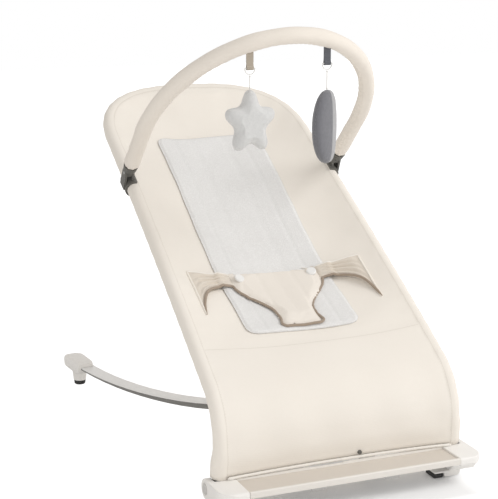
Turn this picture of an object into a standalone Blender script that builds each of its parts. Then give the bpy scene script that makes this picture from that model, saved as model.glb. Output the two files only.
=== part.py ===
"""Folding baby bouncer with a cloth sling on a tubular hoop and a clip-on toy bar.

Frame: +X to the right as seen from the foot end, +Y towards the head end, +Z up.
The origin is on the floor, in the middle of the footprint. Lengths are in metres.
"""

from math import atan2, cos, pi, radians, sin, sqrt

import bmesh
import bpy
from mathutils import Matrix, Vector
from mathutils.bvhtree import BVHTree

# Running gaps
GAP = 0.0003
PIN_PLAY = 0.0003

# Front plate and the parts under it
PLATE_BACK_Y = -0.300
PLATE_DEPTH = 0.057
PLATE_TOP_Z = 0.041
PLATE_HEIGHT = 0.009
PLATE_WALL = 0.0024
PLATE_RECESS = 0.003
PLATE_RIM = 0.004
PLATE_RIBS = 4
RIB_THICK = 0.002
RIB_REACH = 0.003
RIB_SINK = 0.0006
NOTCH_START_X = -0.051
NOTCH_END_X = 0.001
NOTCH_WIDTH = 0.0035
NOTCH_DEPTH = 0.0050
CROSS_BAR_THICK = 0.005
RAIL_WIDTH = 0.022
RAIL_THICK = 0.005
RAIL_X = 0.058

# Hinge hubs at the ends of the plate
HUB_INNER_WALL = 0.0089
HUB_OUTER_WALL = 0.01025
HUB_ROUND = 0.015
HUB_PLAN_ROUND = 0.024
HUB_NOSE_HEIGHT = 0.0125
HUB_NOSE_ROUND = 0.004
HUB_CHIN = 0.030
HINGE_BEHIND_PLATE = 0.0125
FOLD_PIN_RADIUS = 0.004
KNUCKLE_RADIUS = 0.0112
KNUCKLE_WIDTH = 0.0215
BUTTON_RADIUS = 0.0075
BUTTON_PROUD = 0.0015
BUTTON_THICK = 0.0042
BUTTON_TRAVEL = 0.0025
SPRING_WIRE_RADIUS = 0.00025
SPRING_TURNS = 2
SPRING_TAPER = 0.5

# Front feet
FOOT_INSET = 0.0135
FOOT_WIDTH = 0.027
FOOT_DEPTH = 0.030
FOOT_FRONT_SETBACK = 0.034
FOOT_PAD_WIDTH = 0.016
SOLE = 0.001

# Rear bow and its feet
BOW_HALF_SPAN = 0.226
BOW_DEPTH = 0.400
BOW_CENTRE_Y = 0.397
BOW_WIDTH = 0.027
BOW_TOP_Z = 0.0407
BOW_THICK_MIDDLE = 0.011
BOW_THICK_END = 0.0045
BOW_END_Y = 0.335
REAR_CAP_LENGTH = 0.072
REAR_CAP_WIDTH = 0.036
REAR_CAP_HEIGHT = 0.021
REAR_STEM_RADIUS = 0.011
REAR_PAD_RADIUS = 0.0095
REAR_PAD_HEIGHT = 0.0075
REAR_FOOT_Y = 0.312

# Seat hoop: side profile, then its outline
TUBE_RADIUS = 0.0085
TUBE_WALL = 0.0015
RISER_LEAN = radians(97.9)
RISER_LENGTH = 0.031
KNEE_RADIUS = 0.092
KNEE_TURN = radians(65.2)
BACK_LENGTH = 0.694
BACK_TURN = radians(5.1)
HOOP_HALF_FOOT = 0.185
HOOP_HALF_HEAD = 0.170
HEAD_CORNER = 0.150
HEAD_POWER = 2.7
HEAD_SHARE = 0.42
TUBE_TAIL = 0.004
HUB_SLEEVE_REACH = 0.010
HUB_SLEEVE_WALL = 0.0022

# Sling
CLOTH = 0.0022
CASING_PLAY = 0.0009
HUB_FLARE = 0.0022
HEM_START = 0.0022
SAG_FOOT = 0.006
SAG_SEAT = 0.048
SAG_HEAD = 0.034
SPINE_END = 0.19
BACK_STEPS = 9
LINER_HALF_WIDTH = 0.092
LINER_THICK = 0.004
LINER_PLAY = 0.0008
LINER_ROWS = (3, 19)
PAD_EDGE = 0.0010
PIPING_RADIUS = 0.0021
HEM_PLAY = 0.0009
STUD_RADIUS = 0.0034
STUD_THICK = 0.0026
STUD_X = 0.030

# Waist restraint
WAIST_ROWS = (3, 8)
WAIST_CROTCH_HALF = 0.036
WAIST_TOP_HALF = 0.078
WAIST_THICK = 0.0045
STRAP_WIDTH = 0.028
STRAP_THICK = 0.0020
STRAP_PLAY = 0.0009
STRAP_INSET = 0.040
WING_DROP = 0.060
TOGGLE_RADIUS = 0.0085
TOGGLE_PLAY = 0.0016
TOGGLE_THICK = 0.0035

# Toy bar and its clips
CLIP_ALONG = 0.578
CLIP_PLAY = 0.0005
CLIP_WALL = 0.0032
CLIP_LENGTH = 0.030
EAR_RADIUS = 0.0080
EAR_THICK = 0.0034
TONGUE_RADIUS = 0.0074
TONGUE_THICK = 0.0080
BAR_PIN_RADIUS = 0.0025
BAR_TILT = radians(136.4)
BAR_PIN_OUTSET = 0.0090
BAR_LEG = 0.109
BAR_RISE = 0.2235
BAR_TUBE_RADIUS = 0.0060
BAR_TUBE_WALL = 0.0012
SLEEVE_RADIUS = 0.0132
SOCKET_RADIUS = 0.0105
SOCKET_START = 0.0095
SOCKET_END = 0.0215
SOCKET_FLOOR = 0.0130
THUMB_TAB_WIDTH = 0.009
THUMB_TAB_PROUD = 0.0075

# Hanging toys
STAR_X = -0.0670
MOON_X = 0.056
TOY_STRAP_WIDTH = 0.012
TOY_STRAP_THICK = 0.0016
TOY_STRAP_PLAY = 0.0008
TOY_STRAP_DROP = 0.0226
TOY_TAIL_THICK = 0.0026
EYELET_RADIUS = 0.0017
RING_RADIUS = 0.0052
RING_WIRE = 0.0011
STRING_RADIUS = 0.0009
STAR_STRING_LENGTH = 0.0205
STAR_HEIGHT = 0.088
STAR_WIDTH = 0.077
STAR_THICK = 0.031
MOON_STRING_LENGTH = 0.0285
MOON_HEIGHT = 0.112
MOON_WIDTH = 0.052
MOON_THICK = 0.021
MOON_YAW = radians(32)

# Places that follow from the sizes above
KNUCKLE_INNER_X = HOOP_HALF_FOOT - KNUCKLE_WIDTH / 2
KNUCKLE_OUTER_X = HOOP_HALF_FOOT + KNUCKLE_WIDTH / 2
HUB_OUTER_X = KNUCKLE_OUTER_X + HUB_OUTER_WALL
HUB_INNER_X = KNUCKLE_INNER_X - HUB_INNER_WALL
PLATE_HALF_LENGTH = HUB_INNER_X - GAP
FOOT_HALF_SPAN = HOOP_HALF_FOOT - FOOT_INSET
HINGE_Y = PLATE_BACK_Y + HINGE_BEHIND_PLATE
HINGE_Z = PLATE_TOP_Z - HUB_ROUND
RISER_FOOT_Y = HINGE_Y - (PLATE_TOP_Z - HINGE_Z) / -sin(RISER_LEAN) * cos(RISER_LEAN)
SEAT_LENGTH = RISER_LENGTH + KNEE_RADIUS * KNEE_TURN + BACK_LENGTH
CLIP_HALF_SPAN = HOOP_HALF_FOOT + (HOOP_HALF_HEAD - HOOP_HALF_FOOT) * CLIP_ALONG / SEAT_LENGTH
BAR_HALF_WIDTH = CLIP_HALF_SPAN + BAR_PIN_OUTSET
CASING_INNER = TUBE_RADIUS + CASING_PLAY
STRAP_REACH = HOOP_HALF_FOOT - STRAP_INSET
CASING_OUTER = CASING_INNER + CLOTH
CLIP_PIVOT_RISE = CASING_OUTER + CLIP_PLAY + CLIP_WALL + TONGUE_RADIUS + 2 * GAP
HUB_BOTTOM_Z = HINGE_Z - HUB_ROUND
BUTTON_FLOOR_X = HUB_OUTER_X + BUTTON_PROUD - BUTTON_THICK - BUTTON_TRAVEL - 0.0010
CROSS_BAR_TOP_Z = PLATE_TOP_Z - PLATE_RECESS - PLATE_WALL - GAP
CROSS_BAR_BOTTOM_Z = CROSS_BAR_TOP_Z - CROSS_BAR_THICK
BOW_BOTTOM_Z = BOW_TOP_Z - BOW_THICK_MIDDLE
RAIL_TOP_Z = min(CROSS_BAR_BOTTOM_Z, BOW_BOTTOM_Z) - GAP


def clear_scene():
    for item in list(bpy.data.objects):
        bpy.data.objects.remove(item, do_unlink=True)


def material(name, colour, roughness, metallic=0.0):
    made = bpy.data.materials.new(name)
    made.use_nodes = True
    shader = made.node_tree.nodes["Principled BSDF"]
    shader.inputs["Base Color"].default_value = (*colour, 1.0)
    shader.inputs["Roughness"].default_value = roughness
    shader.inputs["Metallic"].default_value = metallic
    return made


def pivot(name, place, parent=None):
    """An empty on a joint's axis, which carries the pieces that turn with it."""
    empty = bpy.data.objects.new(name, None)
    bpy.context.collection.objects.link(empty)
    empty.parent = parent
    empty["place"] = list(place)
    empty.location = Vector(place) - carrier_place(parent)
    return empty


def carrier_place(carrier):
    return Vector(carrier["place"]) if carrier else Vector((0, 0, 0))


def add_mesh(name, bm, look, carrier, smooth=40):
    """Link a mesh that was modelled in world coordinates under its carrier."""
    bmesh.ops.recalc_face_normals(bm, faces=bm.faces)
    bmesh.ops.translate(bm, vec=-carrier_place(carrier), verts=bm.verts)
    mesh = bpy.data.meshes.new(name)
    bm.to_mesh(mesh)
    bm.free()
    mesh.materials.append(look)
    mesh.shade_smooth()
    mesh.set_sharp_from_angle(angle=radians(smooth))
    made = bpy.data.objects.new(name, mesh)
    made.parent = carrier
    bpy.context.collection.objects.link(made)
    return made


def add_bevel(made, width, segments=2):
    rounding = made.modifiers.new("rounding", "BEVEL")
    rounding.width = width
    rounding.segments = segments
    rounding.limit_method = "ANGLE"
    rounding.angle_limit = radians(40)


def add_cut(made, tool, operation="DIFFERENCE"):
    """Boolean with a hidden tool object that stays out of the model."""
    tool.hide_render = True
    tool.display_type = "WIRE"
    change = made.modifiers.new(operation.lower(), "BOOLEAN")
    change.operation = operation
    change.object = tool
    change.solver = "EXACT"


def mirrored(bm, side):
    """The right-hand shape as it is, or its mirror image for the left."""
    if side < 0:
        bmesh.ops.scale(bm, vec=(-1, 1, 1), verts=bm.verts)
        bmesh.ops.reverse_faces(bm, faces=bm.faces)
    return bm


def loft(rings, closed=True, caps=True):
    """Skin a list of rings of points, each with as many points as the next."""
    bm = bmesh.new()
    rows = [[bm.verts.new(point) for point in ring] for ring in rings]
    for low, high in zip(rows, rows[1:]):
        for here in range(len(low) if closed else len(low) - 1):
            there = (here + 1) % len(low)
            bm.faces.new((low[here], low[there], high[there], high[here]))
    if caps:
        bm.faces.new(rows[0])
        bm.faces.new(rows[-1])
    return bm


def prism(outline, start, end, axis="X"):
    """Extrude a flat outline along X, or an (x, y) outline along Z."""
    bm = bmesh.new()
    if axis == "X":
        loop = [bm.verts.new((start, a, b)) for a, b in outline]
        way = Vector((end - start, 0, 0))
    else:
        loop = [bm.verts.new((a, b, start)) for a, b in outline]
        way = Vector((0, 0, end - start))
    face = bm.faces.new(loop)
    grown = bmesh.ops.extrude_face_region(bm, geom=[face])
    moved = [item for item in grown["geom"] if isinstance(item, bmesh.types.BMVert)]
    bmesh.ops.translate(bm, vec=way, verts=moved)
    return bm


def box(low, high):
    bm = bmesh.new()
    size = Vector(high) - Vector(low)
    centre = (Vector(high) + Vector(low)) / 2
    bmesh.ops.create_cube(bm, size=1.0, matrix=Matrix.Translation(centre) @ Matrix.Diagonal((*size, 1)))
    return bm


def rod(start, end, radius, sides=24, end_radius=None):
    """A solid cylinder or cone between two points."""
    bm = bmesh.new()
    line = Vector(end) - Vector(start)
    turn = line.to_track_quat("Z", "Y").to_matrix().to_4x4()
    spot = Matrix.Translation((Vector(start) + Vector(end)) / 2) @ turn
    bmesh.ops.create_cone(
        bm,
        cap_ends=True,
        segments=sides,
        radius1=radius,
        radius2=radius if end_radius is None else end_radius,
        depth=line.length,
        matrix=spot,
    )
    return bm


def arc(centre, radius, start, end, steps):
    """Points on an arc, both ends included; angles in radians."""
    return [
        (
            centre[0] + radius * cos(start + (end - start) * step / steps),
            centre[1] + radius * sin(start + (end - start) * step / steps),
        )
        for step in range(steps + 1)
    ]


def pipe(name, points, radius, look, carrier, wall=None, resolution=3, closed=False):
    """A round tube or rod along points, as a bevelled curve."""
    curve = bpy.data.curves.new(name, "CURVE")
    curve.dimensions = "3D"
    line = curve.splines.new("POLY")
    line.points.add(len(points) - 1)
    origin = carrier_place(carrier)
    for knot, point in zip(line.points, points):
        knot.co = (*(Vector(point) - origin), 1)
    line.use_cyclic_u = closed
    curve.bevel_depth = radius
    curve.bevel_resolution = resolution
    curve.use_fill_caps = wall is None and not closed
    curve.materials.append(look)
    made = bpy.data.objects.new(name, curve)
    made.parent = carrier
    bpy.context.collection.objects.link(made)
    if wall:
        hollow = made.modifiers.new("wall", "SOLIDIFY")
        hollow.thickness = wall
        hollow.offset = -1
    return made


def smoothstep(value):
    value = min(max(value, 0.0), 1.0)
    return value * value * (3 - 2 * value)


# Seat geometry


def seat_profile(along):
    """Height line of the hoop seen from the side: (y, z, heading) at a distance from its foot."""
    y, z, heading = RISER_FOOT_Y, PLATE_TOP_Z, RISER_LEAN
    if along < RISER_LENGTH:
        return y + along * cos(heading), z + along * sin(heading), heading
    y += RISER_LENGTH * cos(heading)
    z += RISER_LENGTH * sin(heading)
    left = along - RISER_LENGTH
    for length, turn in ((KNEE_RADIUS * KNEE_TURN, KNEE_TURN), (BACK_LENGTH, BACK_TURN)):
        part = left if length == BACK_LENGTH else min(left, length)
        radius = length / turn
        after = heading - part / radius
        y += radius * (sin(heading) - sin(after))
        z += radius * (cos(after) - cos(heading))
        heading = after
        left -= part
        if left <= 0:
            break
    return y, z, heading


def seat_axes(along):
    """Point of the seat's middle line, with its unit vectors along the seat and out of it."""
    y, z, heading = seat_profile(along)
    way = Vector((0, cos(heading), sin(heading)))
    return Vector((0, y, z)), way, Vector((0, -way.z, way.y))


def hoop_half_width(along):
    return HOOP_HALF_FOOT + (HOOP_HALF_HEAD - HOOP_HALF_FOOT) * along / SEAT_LENGTH


def hoop_flat(u, start):
    """Hoop centreline in the unrolled seat, (x, along), for u from -1 at the left foot to 1."""
    corner = SEAT_LENGTH - HEAD_CORNER
    side = 1 if u > 0 else -1
    reach = abs(u)
    if reach > HEAD_SHARE:
        along = corner + (start - corner) * (reach - HEAD_SHARE) / (1 - HEAD_SHARE)
        return side * hoop_half_width(along), along
    angle = pi / 2 * reach / HEAD_SHARE
    along = corner + HEAD_CORNER * cos(angle) ** (2 / HEAD_POWER)
    return side * hoop_half_width(corner) * sin(angle) ** (2 / HEAD_POWER), along


def hoop_stations(start, riser_steps, knee_steps, back_steps, head_steps):
    """Values of u along the hoop, close together where it bends."""
    corner = SEAT_LENGTH - HEAD_CORNER
    knee_end = RISER_LENGTH + KNEE_RADIUS * KNEE_TURN
    marks = ((RISER_LENGTH, riser_steps), (knee_end, knee_steps), (corner, back_steps))
    alongs = [start]
    for mark, steps in marks:
        last = alongs[-1]
        alongs += [last + (mark - last) * step / steps for step in range(1, steps + 1)]
    side = [HEAD_SHARE + (1 - HEAD_SHARE) * (corner - along) / (corner - start) for along in alongs]
    head = [HEAD_SHARE * (1 - step / head_steps) for step in range(1, head_steps + 1)]
    right = side + head
    return [-u for u in right] + right[-2::-1]


def hoop_station(u, start):
    """Centre, outward and upward unit vectors of the hoop at u."""
    step = 0.004
    x, along = hoop_flat(u, start)
    centre, _, normal = seat_axes(along)
    centre.x = x
    before, after = max(u - step, -1), min(u + step, 1)
    ends = []
    for sample in (before, after):
        flat_x, flat_along = hoop_flat(sample, start)
        point = seat_axes(flat_along)[0]
        point.x = flat_x
        ends.append(point)
    tangent = (ends[1] - ends[0]).normalized()
    outward = normal.cross(tangent).normalized()
    return centre, outward, tangent.cross(outward).normalized(), along


def sag(along):
    """How deep the sling's middle hangs below the hoop."""
    share = along / SEAT_LENGTH
    down = SAG_FOOT + (SAG_SEAT - SAG_FOOT) * smoothstep((share - 0.16) / 0.32)
    return down + (SAG_HEAD - SAG_SEAT) * smoothstep((share - 0.52) / 0.26)


def sag_share(inward):
    """Share of the full sag at a fraction of the way from the hoop to the middle."""
    return 1 - (1 - min(max(inward, 0.0), 1.0)) ** 2.3


def half_row(number):
    """Distance along the seat of the sling's rows, counted in half steps from the knee."""
    knee_end = RISER_LENGTH + KNEE_RADIUS * KNEE_TURN
    return knee_end + (SEAT_LENGTH - HEAD_CORNER - knee_end) * number / (2 * BACK_STEPS)


def cloth_point(layers, x, along, lift):
    """Point at a height over the topmost of the layers that lie on the seat there."""
    centre, _, normal = seat_axes(along)
    centre.x = x
    above = centre + normal * 0.1
    depth = min(hit[3] for hit in (layer.ray_cast(above, -normal) for layer in layers) if hit[0])
    return above + normal * (lift - depth)


def hub_flare(along):
    """Extra casing radius where the cloth passes over the hub sleeves."""
    return HUB_FLARE * smoothstep((HUB_SLEEVE_REACH + 0.035 - along) / 0.017)


# Base


def plate_outline():
    """Section of the front plate: a shallow tray with raised rims, open below."""
    back, front = PLATE_BACK_Y, PLATE_BACK_Y - PLATE_DEPTH
    top, low = PLATE_TOP_Z, PLATE_TOP_Z - PLATE_HEIGHT
    floor = top - PLATE_RECESS
    under = floor - PLATE_WALL
    slope = 0.0012
    return [
        (back, low),
        (back, top),
        (back - PLATE_RIM, top),
        (back - PLATE_RIM - slope, floor),
        (front + PLATE_RIM + slope, floor),
        (front + PLATE_RIM, top),
        (front + 0.0012, top),
        (front, top - 0.0012),
        (front, low),
        (front + PLATE_WALL, low),
        (front + PLATE_WALL, under),
        (back - PLATE_WALL, under),
        (back - PLATE_WALL, low),
    ]


def make_front_plate(look):
    outline = plate_outline()
    made = add_mesh("front_plate", prism(outline, -PLATE_HALF_LENGTH, PLATE_HALF_LENGTH), look, None)
    for wall in (PLATE_BACK_Y - PLATE_WALL, PLATE_BACK_Y - PLATE_DEPTH + PLATE_WALL):
        inward = -1 if wall > PLATE_BACK_Y - PLATE_DEPTH / 2 else 1
        ribs = bmesh.new()
        for index in range(PLATE_RIBS):
            x = (index - (PLATE_RIBS - 1) / 2) * 2 * PLATE_HALF_LENGTH / PLATE_RIBS
            ends = sorted((wall, wall + inward * RIB_REACH))
            foot = (x - RIB_THICK / 2, ends[0] - RIB_SINK, PLATE_TOP_Z - PLATE_HEIGHT)
            head = (x + RIB_THICK / 2, ends[1] + RIB_SINK, PLATE_TOP_Z - PLATE_RECESS - PLATE_WALL / 2)
            rib = box(foot, head)
            scrap = bpy.data.meshes.new("rib")
            rib.to_mesh(scrap)
            rib.free()
            ribs.from_mesh(scrap)
        tool = add_mesh("guide_ribs", ribs, look, None)
        add_cut(made, tool, "UNION")
    for side in (-1, 1):
        half = RAIL_WIDTH / 2 + 2 * GAP
        low = (side * RAIL_X - half, PLATE_BACK_Y - PLATE_WALL - 0.001, PLATE_TOP_Z - PLATE_HEIGHT - 0.01)
        high = (side * RAIL_X + half, PLATE_BACK_Y + 0.01, RAIL_TOP_Z + GAP)
        add_cut(made, add_mesh("cutter_rail_notch", box(low, high), look, None))
    low = (NOTCH_START_X, PLATE_BACK_Y - NOTCH_WIDTH, PLATE_TOP_Z - NOTCH_DEPTH)
    high = (NOTCH_END_X, PLATE_BACK_Y + 0.01, PLATE_TOP_Z + 0.01)
    add_cut(made, add_mesh("cutter_hem_notch", box(low, high), look, None))


def make_cross_bar(look):
    inset = PLATE_WALL + 0.0044
    low = (-PLATE_HALF_LENGTH, PLATE_BACK_Y - PLATE_DEPTH + inset, CROSS_BAR_BOTTOM_Z)
    high = (PLATE_HALF_LENGTH, PLATE_BACK_Y - inset, CROSS_BAR_TOP_Z)
    add_bevel(add_mesh("front_cross_bar", box(low, high), look, None), 0.0006, 1)


def hub_outline():
    """Side view of a hub: a round back about the fold axis, a low nose level with the plate."""
    front = PLATE_BACK_Y - PLATE_DEPTH
    nose, nose_bottom = HUB_NOSE_ROUND, PLATE_TOP_Z - HUB_NOSE_HEIGHT
    outline = arc((HINGE_Y, HINGE_Z), HUB_ROUND, -pi / 2, pi / 2, 12)
    outline += arc((front + nose, PLATE_TOP_Z - nose), nose, pi / 2, pi, 3)
    outline += arc((front + nose, nose_bottom + nose), nose, pi, 3 * pi / 2, 3)
    outline.append((front + HUB_CHIN * 0.55, nose_bottom))
    outline.append((front + HUB_CHIN, HUB_BOTTOM_Z))
    return outline


def make_hub(side, name, look):
    bm = mirrored(prism(hub_outline(), HUB_INNER_X, HUB_OUTER_X), side)
    made = add_mesh(name, bm, look, None)
    front = PLATE_BACK_Y - PLATE_DEPTH
    corner = HUB_PLAN_ROUND
    waste = [(HUB_OUTER_X + 0.01, front - 0.01), (HUB_OUTER_X + 0.01, front + corner)]
    waste += arc((HUB_OUTER_X - corner, front + corner), corner, 0, -pi / 2, 6)
    waste += [(HUB_OUTER_X - corner, front - 0.01)]
    corner_tool = mirrored(prism(waste, HUB_BOTTOM_Z - 0.01, PLATE_TOP_Z + 0.01, "Z"), side)
    add_cut(made, add_mesh("cutter_corner", corner_tool, look, None))
    slot_low = (KNUCKLE_INNER_X - GAP, RISER_FOOT_Y - TUBE_RADIUS - HUB_SLEEVE_WALL - 2 * GAP, -0.01)
    slot_high = (KNUCKLE_OUTER_X + GAP, HINGE_Y + 0.04, PLATE_TOP_Z + 0.02)
    add_cut(made, add_mesh("cutter_slot", mirrored(box(slot_low, slot_high), side), look, None))
    bore = rod(
        (HUB_INNER_X - 0.01, HINGE_Y, HINGE_Z),
        (BUTTON_FLOOR_X + 0.001, HINGE_Y, HINGE_Z),
        FOLD_PIN_RADIUS + PIN_PLAY,
        16,
    )
    add_cut(made, add_mesh("cutter_bore", mirrored(bore, side), look, None))
    well = rod(
        (BUTTON_FLOOR_X, HINGE_Y, HINGE_Z),
        (HUB_OUTER_X + 0.01, HINGE_Y, HINGE_Z),
        BUTTON_RADIUS + PIN_PLAY,
        24,
    )
    add_cut(made, add_mesh("cutter_well", mirrored(well, side), look, None))
    add_bevel(made, 0.0008, 1)


def make_fold_pin(side, name, look):
    bm = rod((HUB_INNER_X, HINGE_Y, HINGE_Z), (BUTTON_FLOOR_X, HINGE_Y, HINGE_Z), FOLD_PIN_RADIUS, 16)
    add_mesh(name, mirrored(bm, side), look, None)


def make_button(side, name, look, carrier):
    outer = HUB_OUTER_X + BUTTON_PROUD
    bm = rod((outer - BUTTON_THICK, HINGE_Y, HINGE_Z), (outer, HINGE_Y, HINGE_Z), BUTTON_RADIUS, 24)
    add_bevel(add_mesh(name, mirrored(bm, side), look, carrier), 0.0008, 1)


def make_button_spring(side, name, look, carrier):
    """The cone of wire that pushes a release button out again and lies flat when it is pressed."""
    start = BUTTON_FLOOR_X + SPRING_WIRE_RADIUS + GAP
    end = HUB_OUTER_X + BUTTON_PROUD - BUTTON_THICK - SPRING_WIRE_RADIUS - GAP
    wide = BUTTON_RADIUS - 0.0020
    steps = 12 * SPRING_TURNS
    points = []
    for step in range(steps + 1):
        share = step / steps
        coil = wide * (1 - SPRING_TAPER * share)
        turn = 2 * pi * SPRING_TURNS * share
        x = side * (start + (end - start) * share)
        points.append((x, HINGE_Y + coil * cos(turn), HINGE_Z + coil * sin(turn)))
    made = pipe(name, points, SPRING_WIRE_RADIUS, look, carrier, resolution=1)
    made.modifiers.new("flat_faces", "TRIANGULATE")


def make_front_foot(side, name, look):
    """Grey foot under a hub, with a flange that reaches over the rubber pad."""
    front = PLATE_BACK_Y - PLATE_DEPTH + FOOT_FRONT_SETBACK
    back = front + FOOT_DEPTH
    top = HUB_BOTTOM_Z - GAP
    inner = FOOT_HALF_SPAN - FOOT_WIDTH / 2
    outer = FOOT_HALF_SPAN + FOOT_WIDTH / 2
    rubber = inner - FOOT_PAD_WIDTH
    outline = [
        (rubber, top),
        (rubber, top - 0.0030),
        (inner, top - 0.0030),
        (inner + 0.001, SOLE),
        (outer - 0.003, SOLE),
        (outer, SOLE + 0.004),
        (outer, top),
    ]
    bm = bmesh.new()
    loop = [bm.verts.new((x, front, z)) for x, z in outline]
    grown = bmesh.ops.extrude_face_region(bm, geom=[bm.faces.new(loop)])
    moved = [item for item in grown["geom"] if isinstance(item, bmesh.types.BMVert)]
    bmesh.ops.translate(bm, vec=(0, back - front, 0), verts=moved)
    add_bevel(add_mesh(name, mirrored(bm, side), look, None), 0.0012, 2)


def make_front_pad(side, name, look):
    front = PLATE_BACK_Y - PLATE_DEPTH + FOOT_FRONT_SETBACK + 0.002
    back = front + FOOT_DEPTH - 0.004
    inner = FOOT_HALF_SPAN - FOOT_WIDTH / 2
    top = HUB_BOTTOM_Z - 0.0030 - 2 * GAP
    bm = box((inner - FOOT_PAD_WIDTH, front, 0), (inner - GAP, back, top))
    add_bevel(add_mesh(name, mirrored(bm, side), look, None), 0.0012, 1)


def make_rail(side, name, look):
    """Flat steel bar from under the cross bar to under the middle of the bow."""
    start = PLATE_BACK_Y - PLATE_DEPTH + PLATE_WALL + 0.0060
    bow_y = BOW_CENTRE_Y - BOW_DEPTH * sqrt(1 - (RAIL_X / BOW_HALF_SPAN) ** 2)
    end = bow_y + BOW_WIDTH / 2
    half = RAIL_WIDTH / 2
    outline = [(RAIL_X - half, start), (RAIL_X + half, start)]
    outline += arc((RAIL_X, end - half), half, 0, pi, 8)
    bm = mirrored(prism(outline, RAIL_TOP_Z - RAIL_THICK, RAIL_TOP_Z, "Z"), side)
    add_bevel(add_mesh(name, bm, look, None), 0.0006, 1)


def bow_loft(grow=0.0, steps=32):
    """The curved flat bar, thickest in the middle; grow enlarges its section all round."""
    limit = sqrt(1 - ((BOW_CENTRE_Y - BOW_END_Y) / BOW_DEPTH) ** 2)
    furthest = atan2(limit, (BOW_CENTRE_Y - BOW_END_Y) / BOW_DEPTH)
    chamfer = 0.0012
    rings = []
    for step in range(steps + 1):
        turn = furthest * (2 * step / steps - 1)
        centre = Vector((BOW_HALF_SPAN * sin(turn), BOW_CENTRE_Y - BOW_DEPTH * cos(turn), 0))
        along = Vector((BOW_HALF_SPAN * cos(turn), BOW_DEPTH * sin(turn), 0)).normalized()
        across = Vector((along.y, -along.x, 0))
        share = smoothstep(1.15 * (1 - abs(turn) / furthest))
        thick = BOW_THICK_END + (BOW_THICK_MIDDLE - BOW_THICK_END) * share
        half = BOW_WIDTH / 2 + grow
        top, low = BOW_TOP_Z + grow, BOW_TOP_Z - thick - grow
        section = [
            (-half, low + chamfer),
            (-half, top - chamfer),
            (-half + chamfer, top),
            (half - chamfer, top),
            (half, top - chamfer),
            (half, low + chamfer),
            (half - chamfer, low),
            (-half + chamfer, low),
        ]
        rings.append([centre + across * a + Vector((0, 0, b)) for a, b in section])
    return loft(rings)


def bow_end():
    """Centre and heading of the bow where it goes into the right rear cap."""
    share = (BOW_CENTRE_Y - BOW_END_Y) / BOW_DEPTH
    turn = atan2(sqrt(1 - share * share), share)
    x = BOW_HALF_SPAN * sin(turn)
    way = Vector((BOW_HALF_SPAN * cos(turn), BOW_DEPTH * sin(turn), 0)).normalized()
    return x, way


def make_rear_cap(side, name, look):
    """Moulded end of the bow, with a stem that carries its rubber pad."""
    x, way = bow_end()
    across = Vector((way.y, -way.x, 0))
    back = BOW_END_Y + 0.010
    middle = Vector((x, back - REAR_CAP_LENGTH / 2, BOW_TOP_Z - BOW_THICK_END / 2))
    rings = []
    steps = 6
    for step in range(steps + 1):
        share = step / steps
        swell = sqrt(max(0.0, 1 - (2 * share - 1) ** 6)) * 0.22 + 0.78
        centre = middle + way * (share - 0.5) * REAR_CAP_LENGTH
        half = REAR_CAP_WIDTH / 2 * swell
        tall = REAR_CAP_HEIGHT / 2 * swell
        outline = []
        for corner_x, corner_z, start in ((1, 1, 0), (-1, 1, pi / 2), (-1, -1, pi), (1, -1, 3 * pi / 2)):
            rounding = 0.006
            outline += arc(
                (corner_x * (half - rounding), corner_z * (tall - rounding)),
                rounding,
                start,
                start + pi / 2,
                2,
            )
        rings.append([centre + across * a + Vector((0, 0, b)) for a, b in outline])
    made = add_mesh(name, mirrored(loft(rings), side), look, None)
    foot_x = rear_foot_x()
    stem = rod(
        (foot_x, REAR_FOOT_Y, REAR_PAD_HEIGHT + GAP),
        (foot_x, REAR_FOOT_Y, BOW_TOP_Z - BOW_THICK_END - 0.002),
        REAR_STEM_RADIUS,
        24,
        REAR_STEM_RADIUS + 0.003,
    )
    add_cut(made, add_mesh("guide_stem", mirrored(stem, side), look, None), "UNION")
    pocket = mirrored(bow_loft(GAP), 1)
    add_cut(made, add_mesh("cutter_pocket", pocket, look, None))


def rear_foot_x():
    share = (BOW_CENTRE_Y - REAR_FOOT_Y) / BOW_DEPTH
    return BOW_HALF_SPAN * sqrt(1 - share * share)


def make_rear_pad(side, name, look):
    x = rear_foot_x()
    sole, top = (x, REAR_FOOT_Y, 0), (x, REAR_FOOT_Y, REAR_PAD_HEIGHT)
    bm = rod(sole, top, REAR_PAD_RADIUS, 24, REAR_PAD_RADIUS + 0.001)
    add_bevel(add_mesh(name, mirrored(bm, side), look, None), 0.0010, 1)


# Seat frame


def make_hub_socket(side, name, look, carrier):
    """Knuckle that turns on the fold pin and holds the lower end of the hoop."""
    y, z, heading = seat_profile(0)
    way = Vector((0, cos(heading), sin(heading)))
    foot = Vector((HOOP_HALF_FOOT, y, z))
    inner_end, outer_end = (KNUCKLE_INNER_X, HINGE_Y, HINGE_Z), (KNUCKLE_OUTER_X, HINGE_Y, HINGE_Z)
    barrel = rod(inner_end, outer_end, KNUCKLE_RADIUS, 32)
    made = add_mesh(name, mirrored(barrel, side), look, carrier)
    sleeve = rod(foot - way * 0.008, foot + way * HUB_SLEEVE_REACH, TUBE_RADIUS + HUB_SLEEVE_WALL, 28)
    add_cut(made, add_mesh("guide_sleeve", mirrored(sleeve, side), look, carrier), "UNION")
    bore_start, bore_end = foot - way * (TUBE_TAIL + GAP), foot + way * (HUB_SLEEVE_REACH + 0.01)
    bore = rod(bore_start, bore_end, TUBE_RADIUS + GAP, 28)
    add_cut(made, add_mesh("cutter_tube", mirrored(bore, side), look, carrier))
    pin = rod(
        (KNUCKLE_INNER_X - 0.01, HINGE_Y, HINGE_Z),
        (KNUCKLE_OUTER_X + 0.01, HINGE_Y, HINGE_Z),
        FOLD_PIN_RADIUS + PIN_PLAY,
        16,
    )
    add_cut(made, add_mesh("cutter_pin", mirrored(pin, side), look, carrier))


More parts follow.
